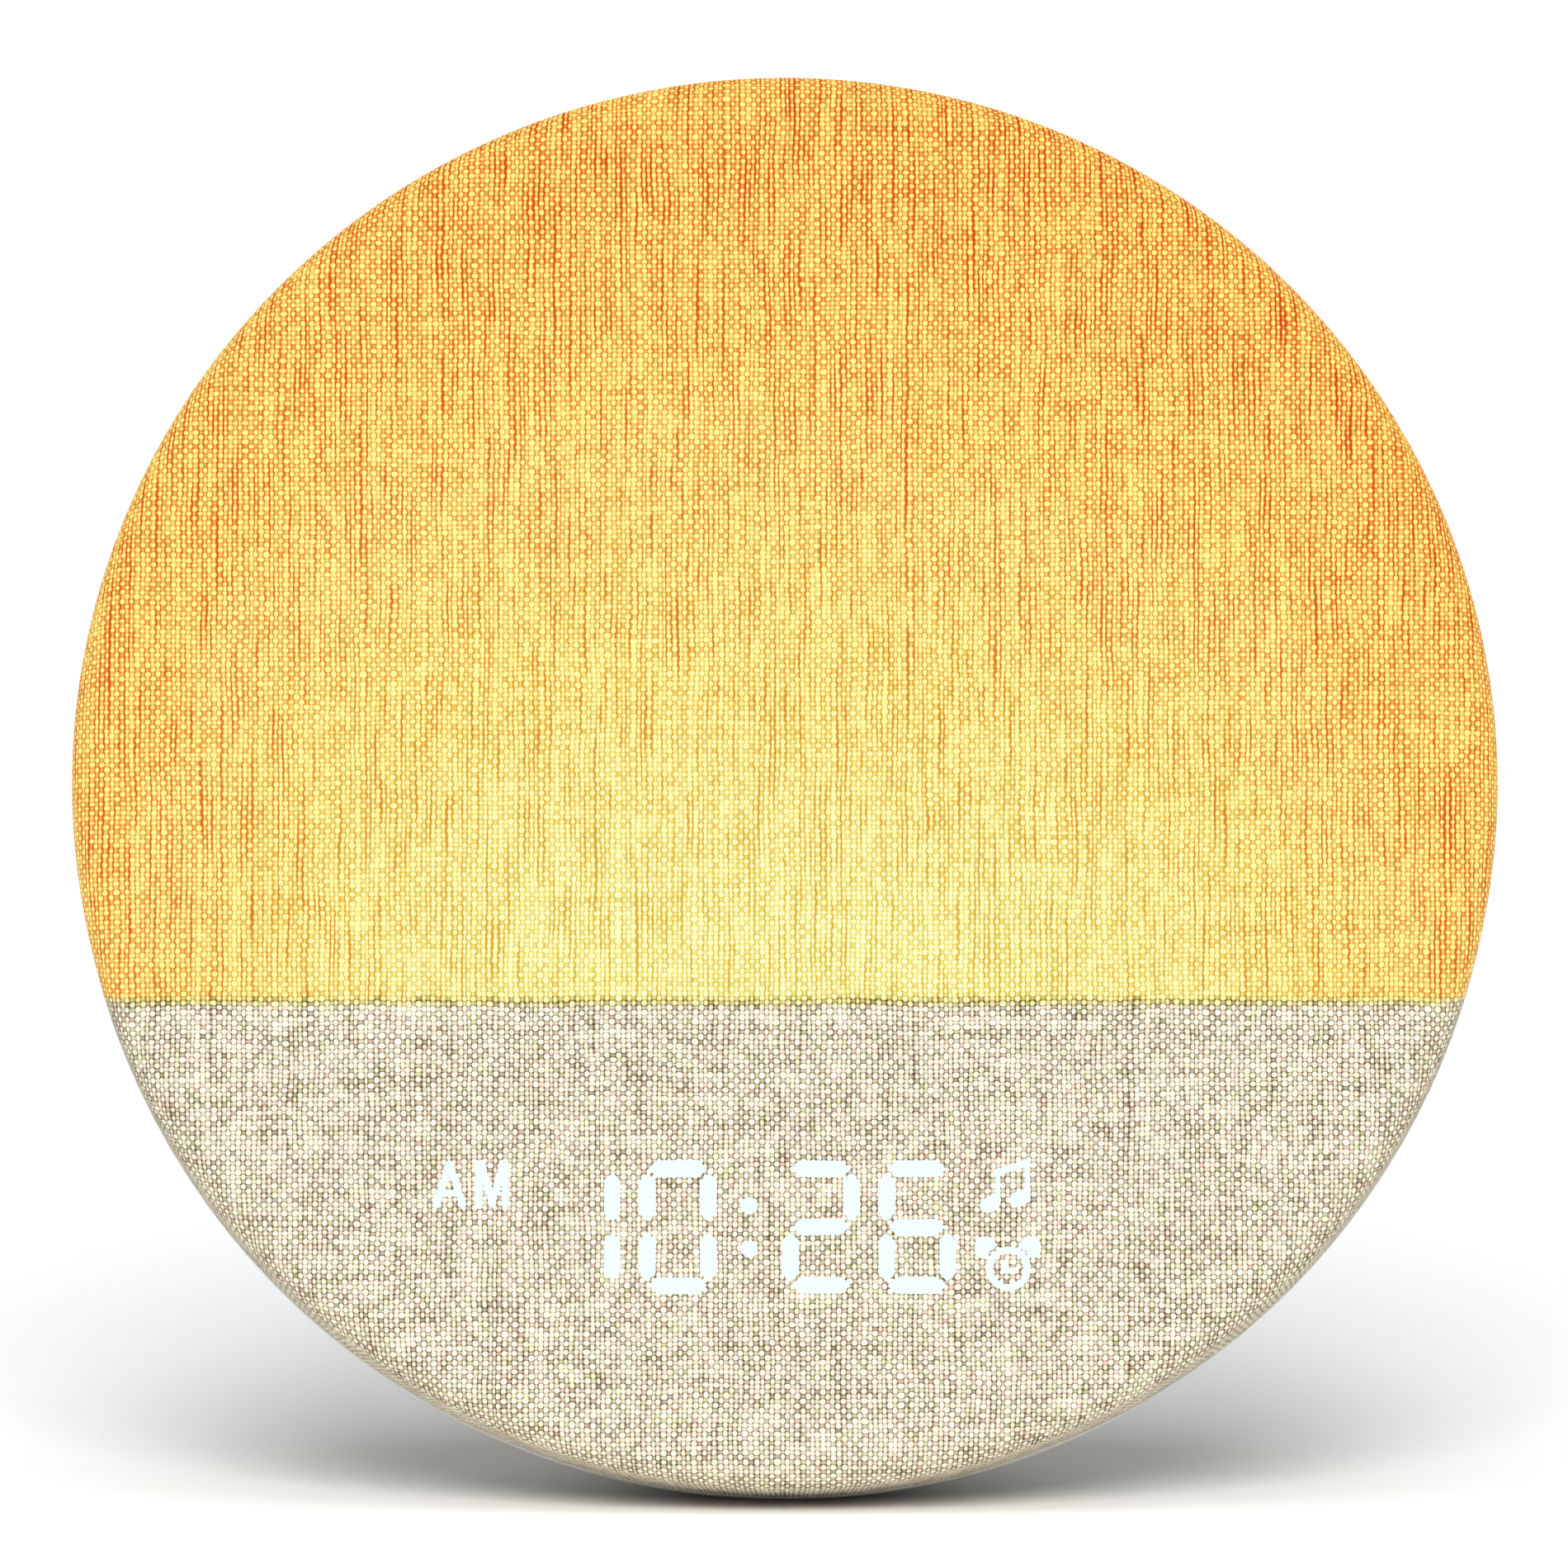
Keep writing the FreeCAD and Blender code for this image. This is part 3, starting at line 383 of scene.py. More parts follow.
def cloth_reach(radius, depth):
    """How far along the cloth a point lies from the face's middle."""
    if depth < RIM_ROUND and radius > FLAT_RADIUS:
        turned = math.atan2(radius - FLAT_RADIUS, RIM_ROUND - depth)
        return FLAT_RADIUS + RIM_ROUND * turned
    if depth < RIM_ROUND:
        return radius
    if radius > FACE_RADIUS - FOLD_ROUND - CLOTH_THICK:
        return RIM_REACH + depth - RIM_ROUND
    return FOLD_REACH + FACE_RADIUS - radius


def cloth_profile():
    """Radius and depth of the cloth's outer face, from the flat's edge round the rim to the hem."""
    steps = 7
    for step in range(1, steps + 1):
        angle = math.pi / 2 * step / steps
        yield (FLAT_RADIUS + RIM_ROUND * math.sin(angle), RIM_ROUND * (1 - math.cos(angle)))
    for depth in (6.0, 8.0, 10.0, RIM_DEPTH - FOLD_ROUND):
        yield (FACE_RADIUS, depth)
    for angle in (math.pi / 4, math.pi / 2):
        yield (FACE_RADIUS - FOLD_ROUND * (1 - math.cos(angle)),
               RIM_DEPTH - FOLD_ROUND * (1 - math.sin(angle)))
    for inward in (3.0, HEM_WIDTH):
        yield (FACE_RADIUS - inward, RIM_DEPTH)


def pucker(angle, depth):
    """How far the cloth sinks between the pulls of the hem, behind the rounded rim."""
    pull = noise.noise(Vector((math.cos(angle) * 9, math.sin(angle) * 9, 4.0)))
    share = min(1.0, max(0.0, (depth - PUCKER_START) / PUCKER_RUN))
    return PUCKER_DEEP * (pull + 0.4) * share


cloth = bmesh.new()
bmesh.ops.create_grid(cloth, x_segments=GRID_STEPS, y_segments=GRID_STEPS, size=1.0)
for vertex in cloth.verts:
    x, z = vertex.co.x, vertex.co.y
    # a square grid, eased out into a disc
    in_disc = Vector((x * math.sqrt(1 - z * z / 2), 0, z * math.sqrt(1 - x * x / 2)))
    vertex.co = in_disc * FLAT_RADIUS
for radius, depth in cloth_profile():
    border = [edge for edge in cloth.edges if edge.is_boundary]
    grown = bmesh.ops.extrude_edge_only(cloth, edges=border)["geom"]
    for vertex in (item for item in grown if isinstance(item, bmesh.types.BMVert)):
        angle = math.atan2(vertex.co.z, vertex.co.x)
        drawn_in = radius - pucker(angle, depth)
        vertex.co = Vector((math.cos(angle) * drawn_in, depth, math.sin(angle) * drawn_in))
bmesh.ops.recalc_face_normals(cloth, faces=cloth.faces)
front = min(cloth.faces, key=lambda face: face.calc_center_median().length)
if front.normal.y > 0:
    bmesh.ops.reverse_faces(cloth, faces=cloth.faces)
bmesh.ops.solidify(cloth, geom=cloth.faces[:], thickness=CLOTH_THICK)
display_faces = []
for face in cloth.faces:
    middle = face.calc_center_median()
    in_patch = PATCH_X[0] < middle.x < PATCH_X[1] and PATCH_Z[0] < middle.z < PATCH_Z[1]
    if in_patch and face.normal.y < -0.9 and middle.y < CLOTH_THICK / 2:
        display_faces.append(face)
display_edges = list({edge for face in display_faces for edge in face.edges})
bmesh.ops.subdivide_edges(cloth, edges=display_edges, cuts=PATCH_CUTS, use_grid_fill=True)
thread_place = cloth.verts.layers.float_vector.new("cloth_mm")
display_gap = cloth.verts.layers.float.new("display_gap")
for vertex in cloth.verts:
    x, depth, z = vertex.co
    radius = math.hypot(x, z)
    reach = cloth_reach(radius, max(depth, 0.0))
    stretch = reach / radius if radius > 1 else 1.0
    vertex[thread_place] = Vector((x * stretch, z * stretch, reach))
    vertex[display_gap] = to_display(x, z) if depth < CLOTH_THICK / 2 else FAR_FROM_DISPLAY

WARP_PITCH, WEFT_PITCH = 0.638, 0.6

linen = Finish("linen_cloth", Roughness=0.85, Sheen_Weight=0.06, Sheen_Roughness=0.4,
               Specular_IOR_Level=0.12)
across_mm, along_mm, reach_mm = linen.split(linen.attribute("cloth_mm", "Vector"))
flat_place = linen.join(across_mm, along_mm, 0.0)
# threads wander a little, so their rows aren't ruled lines
wander = linen.noise(flat_place, 0.1, 2.0)
wander_too = linen.noise(linen.join(along_mm, across_mm, 31.0), 0.09, 2.0)
crowd = linen.noise(linen.join(across_mm * 0.7, along_mm * 0.02, 8.0), 1.0, 2.0)
crowd_too = linen.noise(linen.join(across_mm * 0.03, along_mm * 0.5, 23.0), 1.0, 2.0)
across = across_mm / WARP_PITCH + wander.swing(1.2) + crowd.swing(1.4)
along = along_mm / WEFT_PITCH + wander_too.swing(1.8) + crowd_too.swing(0.8)
warp, weft = across.math("FLOOR"), along.math("FLOOR")
u, v = across - warp - 0.5, along - weft - 0.5
# 1 where the upright thread lies on top, -1 where the level one does
on_top = (warp + weft).math("FLOORED_MODULO", 2.0) * -2.0 + 1.0
warp_wave = (v * math.pi).math("COSINE") * on_top
weft_wave = (u * math.pi).math("COSINE") * on_top * -1.0
# each thread is thick and thin, and light and dark, along its own length
warp_tone = linen.noise(linen.join(warp * 7.31, along * 0.035, 3.1), 1.0, 3.0, 0.6)
weft_tone = linen.noise(linen.join(across * 0.03, weft * 5.17, 9.7), 1.0, 3.0, 0.6)
crossing = linen.chance(warp, weft, 2.0)
crossing_too = linen.chance(weft, warp, 5.0)
fibre = linen.noise(linen.join(across * 4.0 + along * 2.2, along * 3.5, 1.0), 1.0, 2.0, 0.6)
warp_half = warp_tone * 0.2 + crossing * 0.1 + 0.32
weft_half = weft_tone * 0.2 + 0.34
warp_round = ((u / warp_half).math("POWER", 2.0) * -1.0 + 1.0).math("MAXIMUM", 0.0).math("SQRT")
weft_round = ((v / weft_half).math("POWER", 2.0) * -1.0 + 1.0).math("MAXIMUM", 0.0).math("SQRT")
warp_height = warp_wave * 0.55 + warp_round
weft_height = weft_wave * 0.45 + weft_round * 0.9
height = warp_height.math("MAXIMUM", weft_height)
warp_shows = (warp_height - weft_height).ease(-0.1, 0.1)
# wide soft patches where the yarn is paler, pinker or greener
patch = linen.noise(flat_place, 0.35, 3.0, 0.65)
streak = linen.noise(linen.join(across_mm * 0.9, along_mm * 0.05, 5.0), 1.0, 3.0, 0.7)
level_streak = linen.noise(linen.join(across_mm * 0.12, along_mm * 1.2, 15.0), 1.0, 3.0, 0.7)
tint = linen.noise(linen.join(across_mm, along_mm, 40.0), 0.55, 3.0, 0.7)

# a painted highlight on the tops of the threads and painted shade in the gaps between them, added
# to the yarn's own random tones
crest_highlight = height.ease(0.35, 1.4)
tone_and_crest_shading = (crest_highlight * (warp_shows * 0.36 + 0.48) + 0.045 + warp_tone.swing(0.12)
               + weft_tone.swing(0.34) + patch.swing(0.44) + fibre.swing(0.22)
               + level_streak.swing(0.34) + crossing.swing(0.24))
bare = linen.ramp(tone_and_crest_shading, [
    (0.0, screen_colour(82, 69, 50)), (0.26, screen_colour(153, 140, 118)),
    (0.58, screen_colour(217, 207, 189)), (0.88, screen_colour(250, 247, 224))])
lean_tint = (tint.swing(3.0) + crossing_too.swing(1.0)) * (tone_and_crest_shading * -0.8 + 1.45)
pinker = linen.mix(1.0, bare, screen_colour(254, 226, 220), "MULTIPLY")
greener = linen.mix(1.0, bare, screen_colour(240, 248, 208), "MULTIPLY")
bare = linen.mix(lean_tint, linen.mix(lean_tint * -1.0, bare, greener), pinker)
# a little lamp light that creeps under the foam strip is painted as a yellow tint on the first
# threads below it
painted_creeping_glow = along_mm.ease(DIVIDE - 1.3, DIVIDE - 0.1) * reach_mm.ease(RIM_REACH, FLAT_RADIUS) * 0.8
bare = linen.mix(painted_creeping_glow, bare, linen.mix(1.0, bare, screen_colour(226, 222, 120), "MULTIPLY"))

# the lamp's glow, painted on the cloth: brightest low in the middle, warmer towards the top and
# the sides, and a little more so in the upper corners, most at the right
LAMP_DROP, LAMP_TALL, LAMP_FADE = 24.0, 1.03, 125.0
SIDE_NEAR, SIDE_FAR = 0.2, 0.82
CORNER_WARM, RIGHT_WARM = 0.00003, 0.000015
outward = across_mm.math("ABSOLUTE")
edge_share = outward / FACE_RADIUS
side = outward * (edge_share * edge_share * SIDE_FAR + SIDE_NEAR)
rise = (along_mm + LAMP_DROP) * LAMP_TALL
corner = rise * (outward * CORNER_WARM + across_mm * RIGHT_WARM)
from_lamp = (side * side + rise * rise).math("SQRT") / LAMP_FADE + corner + streak.swing(0.2)


def outward_ramp(*colours):
    """A ramp of screen colours from the lamp's brightest place outwards."""
    steps = (0.0, 0.3, 0.62, 1.0)
    return linen.ramp(from_lamp, [(step, screen_colour(*colour))
                                  for step, colour in zip(steps, colours)])


glow_deep = outward_ramp((210, 168, 56), (210, 120, 36), (208, 82, 20), (200, 58, 6))
glow_mid = outward_ramp((226, 216, 106), (226, 189, 78), (227, 154, 59), (222, 122, 40))
glow_crest = outward_ramp((255, 255, 205), (255, 255, 172), (255, 248, 146), (255, 236, 124))
# painted shade in the gap at each side of an upright thread, along part of its length
gap_number = (across + 0.5).math("FLOOR")
from_gap = (across - gap_number).math("ABSOLUTE")
gap_tone = linen.noise(linen.join(gap_number * 3.77, along * 0.045, 70.0), 1.0, 3.0, 0.65)
gap_painted_shade = (from_gap * -1.0 + 0.36).ease(0.0, 0.36) * gap_tone.ease(0.42, 0.72)
# a painted highlight along the middle of each upright thread, and a fainter one across each row
thread_painted_highlight = (u * math.pi).math("COSINE").math("MAXIMUM", 0.0)
level_line = (v * (2 * math.pi)).math("COSINE")
glow_light = (thread_painted_highlight * 0.4 + warp_wave * 0.22 + level_line * 0.14 + warp_tone.swing(0.34)
              + weft_tone.swing(0.28) + streak.swing(0.38) + patch.swing(0.08)
              + fibre.swing(0.75) + crossing.swing(0.24) - gap_painted_shade * 0.7 + 0.36)
glow_colour = linen.mix(glow_light.ease(-0.1, 0.5), glow_deep,
                        linen.mix(glow_light.ease(0.3, 0.95), glow_mid, glow_crest))

# the opal panel ends at the divide, and its light fades where the cloth turns round the rim
above = (along_mm + height * 0.3 + crossing.swing(0.3)).ease(DIVIDE - 0.1, DIVIDE + 0.9)
on_front = reach_mm.ease(RIM_REACH + 3.5, RIM_REACH - 2.0)
glowing = above * on_front
# the display's digits and signs are painted on the cloth as glowing shapes
shown = linen.attribute("display_gap", "Fac") + 0.08 - height * 0.11
digits_lit = shown.ease(0.06, -0.06)

# the lamp's glow is painted: part of it as emission, and the rest as warm base colour that the
# studio light lights
LAMP_SHARE = 0.74
GLOW_IN_BASE_SHARE = 1 - LAMP_SHARE
# the digits' glow is painted as a cool white base colour and an emission
DIGIT_GLOW_BASE, DIGIT_LIGHT = (0.37, 0.42, 0.43, 1.0), (0.38, 0.52, 0.55, 1.0)
UNLIT = (0.0, 0.0, 0.0, 1.0)
base_with_painted_glow = linen.mix(1.0, glow_colour, (GLOW_IN_BASE_SHARE, GLOW_IN_BASE_SHARE, GLOW_IN_BASE_SHARE, 1.0), "MULTIPLY")
base_with_painted_glow = linen.mix(glowing, bare, base_with_painted_glow)
linen.set("Base Color", linen.mix(digits_lit, base_with_painted_glow, DIGIT_GLOW_BASE))
lamp_light = linen.mix(1.0, glow_colour, (LAMP_SHARE, LAMP_SHARE, LAMP_SHARE, 1.0), "MULTIPLY")
shine = linen.mix(glowing, UNLIT, lamp_light)
linen.set("Emission Color", linen.mix(digits_lit, shine, DIGIT_LIGHT))
linen.shader.inputs["Emission Strength"].default_value = 1.0
linen.bump(height, 0.35, 0.0002)

cloth_piece = finish_piece("cloth_front", cloth, "clock", [linen.material])
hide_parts("fabric_cover")
2 * CUT_RADIUS * MM
2 * CUT_RADIUS * MM
math.pi * (CUT_RADIUS * MM) ** 2

# ---- ring and panels behind the cloth ----
# The cloth stretches over a moulded ring. Behind it sit an opal acrylic half, an opaque half with
# a smoked window, a foam strip between the two and a white tray that evens out the lamp's light.


def moulded(name, pale, dark, grain=0.35, gloss=(0.42, 0.6), depth=0.02):
    """A moulded plastic with spark-etched grain, and faint changes in shade and gloss."""
    finish = Finish(name)
    spot = finish.place()
    broad = finish.noise(spot, 0.04, 3.0)
    fine = finish.noise(spot, 1.0 / grain, 3.0, 0.65)
    finish.set("Base Color", finish.mix(broad * 0.6 + fine * 0.4, dark, pale))
    finish.set("Roughness", fine * (gloss[1] - gloss[0]) + broad * 0.06 + gloss[0])
    finish.bump(fine, 0.3, depth * MM)
    return finish


moulded("frame_plastic", screen_colour(232, 229, 220),
        screen_colour(222, 218, 208)).dress("frame_plastic")
moulded("panel_plastic", screen_colour(64, 64, 62),
        screen_colour(52, 52, 51)).dress("panel_plastic")
moulded("tray_white", screen_colour(250, 250, 247), screen_colour(243, 243, 239), 0.8,
        (0.3, 0.42)).dress("tray_white")

opal = Finish("opal_acrylic", Subsurface_Weight=0.25, Subsurface_Scale=0.003)
opal_cloud = opal.noise(opal.place(), 0.12, 3.0)
opal.set("Base Color", opal.mix(opal_cloud, screen_colour(246, 244, 238),
                                screen_colour(252, 251, 247)))
opal.set("Roughness", opal_cloud * 0.12 + 0.22)
opal.bump(opal.noise(opal.place(), 1.5, 2.0), 0.1, 0.01 * MM)
opal.dress("opal_acrylic")

smoked = Finish("smoked_film", Coat_Weight=0.3)
smoked_cloud = smoked.noise(smoked.place(), 0.3, 3.0)
smoked.set("Base Color", smoked.mix(smoked_cloud, screen_colour(34, 33, 34),
                                    screen_colour(44, 43, 43)))
smoked.set("Roughness", smoked_cloud * 0.15 + 0.15)
smoked.dress("smoked_film")

foam = Finish("black_foam", Specular_IOR_Level=0.2)
cells = foam.new("ShaderNodeTexVoronoi")
connect(cells.inputs["Vector"], foam.place())
cells.inputs["Scale"].default_value = 3.0
cell_wall = foam.wire(cells.outputs["Distance"])
# the foam is painted darker in the hollows of its cells, as shade
foam.set("Base Color", foam.mix(cell_wall, screen_colour(18, 18, 19), screen_colour(46, 46, 48)))
foam.set("Roughness", cell_wall * 0.1 + 0.88)
foam.bump(cell_wall, 0.8, 0.15 * MM)
foam.dress("black_foam")

# ---- rear housing and foot ----
# One moulded bowl with a matt etched skin, on a cast and powder-coated foot. A silicone pad with
# fine ridges lies under the foot.

moulded("housing_plastic", screen_colour(226, 224, 217), screen_colour(214, 211, 203), 0.3,
        (0.5, 0.66), 0.03).dress("housing_plastic")

foot = Finish("foot_metal", Specular_IOR_Level=0.45)
orange_peel = foot.noise(foot.place(), 2.2, 2.0, 0.5)
foot.set("Base Color", foot.mix(foot.noise(foot.place(), 0.1, 3.0), screen_colour(206, 202, 193),
                                screen_colour(218, 215, 207)))
foot.set("Roughness", orange_peel * 0.2 + 0.42)
foot.bump(orange_peel, 0.5, 0.06 * MM)
foot.dress("foot_metal")

silicone = Finish("silicone", Specular_IOR_Level=0.35)
ridge_along = silicone.split(silicone.place())[0]
ridges = (ridge_along * 2.6).math("SINE") * 0.5 + 0.5
dust = silicone.noise(silicone.place(), 0.5, 4.0, 0.7)
silicone.set("Base Color", silicone.mix(dust, screen_colour(92, 91, 88),
                                        screen_colour(112, 110, 106)))
silicone.set("Roughness", dust * 0.2 + 0.6)
silicone.bump(ridges + dust * 0.2, 0.6, 0.1 * MM)
silicone.dress("silicone")

# ---- rear cover, grille and screws ----
# A moulded disc let into the bowl, with drilled sound holes. Four cross-head screws hold it at
# the bottom of their sinks.

moulded("cover_plastic", screen_colour(220, 218, 211), screen_colour(208, 206, 198), 0.3,
        (0.46, 0.62), 0.03).dress("cover_plastic")


def local_box(node):
    """Lowest and highest corner of a CAD node in the upright frame's millimetres."""
    points = [on_face(vertex.co) for vertex in cad[node].data.vertices]
    return (Vector([min(point[i] for point in points) for i in range(3)]),
            Vector([max(point[i] for point in points) for i in range(3)]))


def metal(name, pale, dark, gloss=(0.22, 0.4), along=(4.0, 0.4, 4.0), depth=0.01):
    """A bare metal, drawn or turned along one way, so its gloss changes in fine streaks."""
    finish = Finish(name, Metallic=1.0)
    x, y, z = finish.split(finish.place())
    streaks = finish.noise(finish.join(x * along[0], y * along[1], z * along[2]), 1.0, 4.0, 0.7)
    finish.set("Base Color", finish.mix(streaks, dark, pale))
    finish.set("Roughness", streaks * (gloss[1] - gloss[0]) + gloss[0])
    finish.bump(streaks, 0.25, depth * MM)
    return finish


screw_steel = metal("screw_steel", (0.62, 0.62, 0.63, 1.0), (0.44, 0.44, 0.46, 1.0))
screw_steel.dress("screw_steel")

SCREW_HEAD, SCREW_FLAT, SHANK_RADIUS = 2.6, 1.9, 1.3
# the head's outer profile below its flat middle, as radius and drop from the top, then the shank
SCREW_PROFILE = [
    (2.25, 0.08), (2.5, 0.3), (SCREW_HEAD, 0.6), (SCREW_HEAD, 1.2), (SHANK_RADIUS, 1.2),
    (SHANK_RADIUS, 9.2), (0.6, 9.4),
]
CROSS_LONG, CROSS_WIDE, CROSS_DEEP, CROSS_TAPER = 1.45, 0.36, 0.85, 0.8
# each screw was driven home to an angle of its own, in radians
FIRST_TURN, NEXT_TURN = 0.4, 1.1
CROSS = [(CROSS_WIDE, CROSS_WIDE), (CROSS_WIDE, CROSS_LONG), (-CROSS_WIDE, CROSS_LONG)]


def verts_of(geom):
    return [item for item in geom if isinstance(item, bmesh.types.BMVert)]


def edges_of(geom):
    return [item for item in geom if isinstance(item, bmesh.types.BMEdge)]


def cross_screw(mesh, x, z, top, turn):
    """A pan-head screw with a cross recess. Its top faces backwards at the given depth."""
    old = set(mesh.verts)
    outer = bmesh.ops.create_circle(mesh, radius=SCREW_FLAT, segments=32)["verts"]
    outer_edges = list({edge for vertex in outer for edge in vertex.link_edges})
    corners = []
    for quarter in range(4):
        for px, py in CROSS:
            a = quarter * math.pi / 2
            corners.append(mesh.verts.new((px * math.cos(a) - py * math.sin(a),
                                           px * math.sin(a) + py * math.cos(a), 0)))
    cross_edges = [mesh.edges.new((corners[i - 1], corners[i])) for i in range(len(corners))]
    bmesh.ops.triangle_fill(mesh, edges=outer_edges + cross_edges, use_beauty=True)
    lower = bmesh.ops.extrude_edge_only(mesh, edges=cross_edges)["geom"]
    for vertex in verts_of(lower):
        vertex.co = Vector((vertex.co.x * CROSS_TAPER, vertex.co.y * CROSS_TAPER, -CROSS_DEEP))
    bmesh.ops.contextual_create(mesh, geom=edges_of(lower))
    for radius, drop in SCREW_PROFILE:
        grown = bmesh.ops.extrude_edge_only(mesh, edges=outer_edges)["geom"]
        outer_edges = edges_of(grown)
        for vertex in verts_of(grown):
            flat = Vector((vertex.co.x, vertex.co.y)).normalized() * radius
            vertex.co = Vector((flat.x, flat.y, -drop))
    bmesh.ops.contextual_create(mesh, geom=outer_edges)
    new = [vertex for vertex in mesh.verts if vertex not in old]
    # the screw's own Z points backwards along the clock's depth
    place = Matrix.Translation((x, top, z)) @ Matrix.Rotation(-math.pi / 2, 4, "X")
    bmesh.ops.transform(mesh, matrix=place @ Matrix.Rotation(turn, 4, "Z"), verts=new)


screws_low, screws_high = local_box("cover_screws")
screw_ring = screws_high.x - SCREW_HEAD
screw_mesh = bmesh.new()
for number, (side, rise) in enumerate(((1, 1), (-1, 1), (-1, -1), (1, -1))):
    cross_screw(screw_mesh, side * screw_ring, rise * screw_ring, screws_high.y,
                FIRST_TURN + number * NEXT_TURN)
bmesh.ops.recalc_face_normals(screw_mesh, faces=screw_mesh.faces)
screw_piece = finish_piece("cover_screw_set", screw_mesh, "clock", [screw_steel.material])
screw_piece.data.set_sharp_from_angle(angle=math.radians(30))
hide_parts("cover_screws")

# ---- volume and brightness dial ----
# A knurled knob with a shallow dished face and a raised pointer, on the encoder's shaft. Raised
# ticks round it on the cover run from a minus to a plus.

dial_plastic = moulded("dial_plastic", screen_colour(214, 211, 203),
                       screen_colour(202, 199, 190), 0.25)
dial_plastic.dress("dial_plastic")
mark_plastic = moulded("mark_plastic", screen_colour(128, 126, 121),
                       screen_colour(112, 110, 106), 0.2)

dial_low, dial_high = local_box("volume_dial")
dial_middle = (dial_low + dial_high) / 2
DIAL_RADIUS = (dial_high.x - dial_low.x) / 2
DIAL_RIBS = 60
RIB_DEEP = 0.35
DIAL_BORE = 3.1
DISH_RADIUS = 12.4
dial_front, dial_back = dial_low.y, dial_high.y
# radius and depth of the outline, from the bore round the skirt to the dished face's middle
DIAL_PROFILE = [
    (DIAL_BORE, dial_front + 3), (DIAL_BORE, dial_front), (DIAL_RADIUS - 0.7, dial_front),
    (DIAL_RADIUS - 0.1, dial_front + 0.5), (DIAL_RADIUS, dial_front + 1.1),
    (DIAL_RADIUS, dial_back - 1.7), (DIAL_RADIUS - 0.25, dial_back - 1.0),
    (DIAL_RADIUS - 0.9, dial_back - 0.25), (DIAL_RADIUS - 1.7, dial_back),
    (DISH_RADIUS, dial_back - 0.1), (DISH_RADIUS - 0.8, dial_back - 0.35),
    (6.0, dial_back - 0.55), (0.0, dial_back - 0.62),
]


def spun(profile, steps, middle_x, middle_z):
    """Spins (radius, depth) points about an axis that runs into the clock."""
    mesh = bmesh.new()
    points = [mesh.verts.new((radius, depth, 0)) for radius, depth in profile]
    edges = [mesh.edges.new(pair) for pair in zip(points, points[1:])]
    bmesh.ops.spin(mesh, geom=points + edges, cent=(0, 0, 0), axis=(0, 1, 0), angle=2 * math.pi,
                   steps=steps, use_merge=True)
    bmesh.ops.remove_doubles(mesh, verts=mesh.verts, dist=0.0005)
    bmesh.ops.recalc_face_normals(mesh, faces=mesh.faces)
    bmesh.ops.translate(mesh, vec=(middle_x, 0, middle_z), verts=mesh.verts)
    return mesh


dial_mesh = spun(DIAL_PROFILE, DIAL_RIBS * 6, dial_middle.x, dial_middle.z)
for vertex in dial_mesh.verts:
    from_axis = Vector((vertex.co.x - dial_middle.x, 0, vertex.co.z - dial_middle.z))
    if from_axis.length > DIAL_RADIUS - 0.05:
        angle = math.atan2(from_axis.z, from_axis.x)
        vertex.co -= from_axis.normalized() * RIB_DEEP * (0.5 - 0.5 * math.cos(angle * DIAL_RIBS))
dial_piece = finish_piece("dial_knob", dial_mesh, "dial", [dial_plastic.material])
dial_piece.data.set_sharp_from_angle(angle=math.radians(40))
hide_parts("volume_dial")


def raised_lines(name, body, finish, lines, radius=0.16):
    """Raised round lines, half sunk in a surface. Each line is (closed, points), in upright mm."""
    curve = bpy.data.curves.new(name, "CURVE")
    curve.dimensions = "3D"
    curve.bevel_depth = radius * MM
    curve.bevel_resolution = 2
    curve.use_fill_caps = True
    curve.materials.append(finish.material)
    for closed, points in lines:
        spline = curve.splines.new("POLY")
        spline.points.add(len(points) - 1)
        for point, place in zip(spline.points, points):
            point.co = (*(FACE @ Vector(place)), 1.0)
        spline.use_cyclic_u = closed
    piece = bpy.data.objects.new(name, curve)
    bpy.context.scene.collection.objects.link(piece)
    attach(piece, body)


def seen_from_behind(x, z, depth, points):
    """Points drawn as a person behind the clock sees them, round a middle on a flat back face."""
    return [(x - across, depth, z + rise) for across, rise in points]


def circle(x, z, radius, first=0, last=360, steps=24):
    """Points round an arc, whose angles run from the right and up."""
    angles = [math.radians(first + (last - first) * i / steps) for i in range(steps + 1)]
    points = [(x + radius * math.cos(angle), z + radius * math.sin(angle)) for angle in angles]
    return points[:-1] if last - first == 360 else points


cover_back = local_box("rear_cover")[1].y
TICKS = 19
SCALE_TURN = 260
TICK_GAP, TICK_SHORT, TICK_GROWTH = 1.5, 0.6, 1.1
SIGN_X, SIGN_Z, SIGN_HALF = 14.6, -13.2, 0.8
tick_lines = []
for tick in range(TICKS):
    share = tick / (TICKS - 1)
    angle = math.radians(SCALE_TURN * (share - 0.5))
    inner = DIAL_RADIUS + TICK_GAP
    outer = inner + TICK_SHORT + TICK_GROWTH * share
    points = [(radius * math.sin(angle), radius * math.cos(angle)) for radius in (inner, outer)]
    tick_lines.append((False, seen_from_behind(dial_middle.x, dial_middle.z, cover_back, points)))
minus = [(-SIGN_X - SIGN_HALF, SIGN_Z), (-SIGN_X + SIGN_HALF, SIGN_Z)]
plus_level = [(SIGN_X - SIGN_HALF, SIGN_Z), (SIGN_X + SIGN_HALF, SIGN_Z)]
plus_upright = [(SIGN_X, SIGN_Z - SIGN_HALF), (SIGN_X, SIGN_Z + SIGN_HALF)]
for points in (minus, plus_level, plus_upright):
    tick_lines.append((False, seen_from_behind(dial_middle.x, dial_middle.z, cover_back, points)))
raised_lines("dial_scale", "clock", mark_plastic, tick_lines)
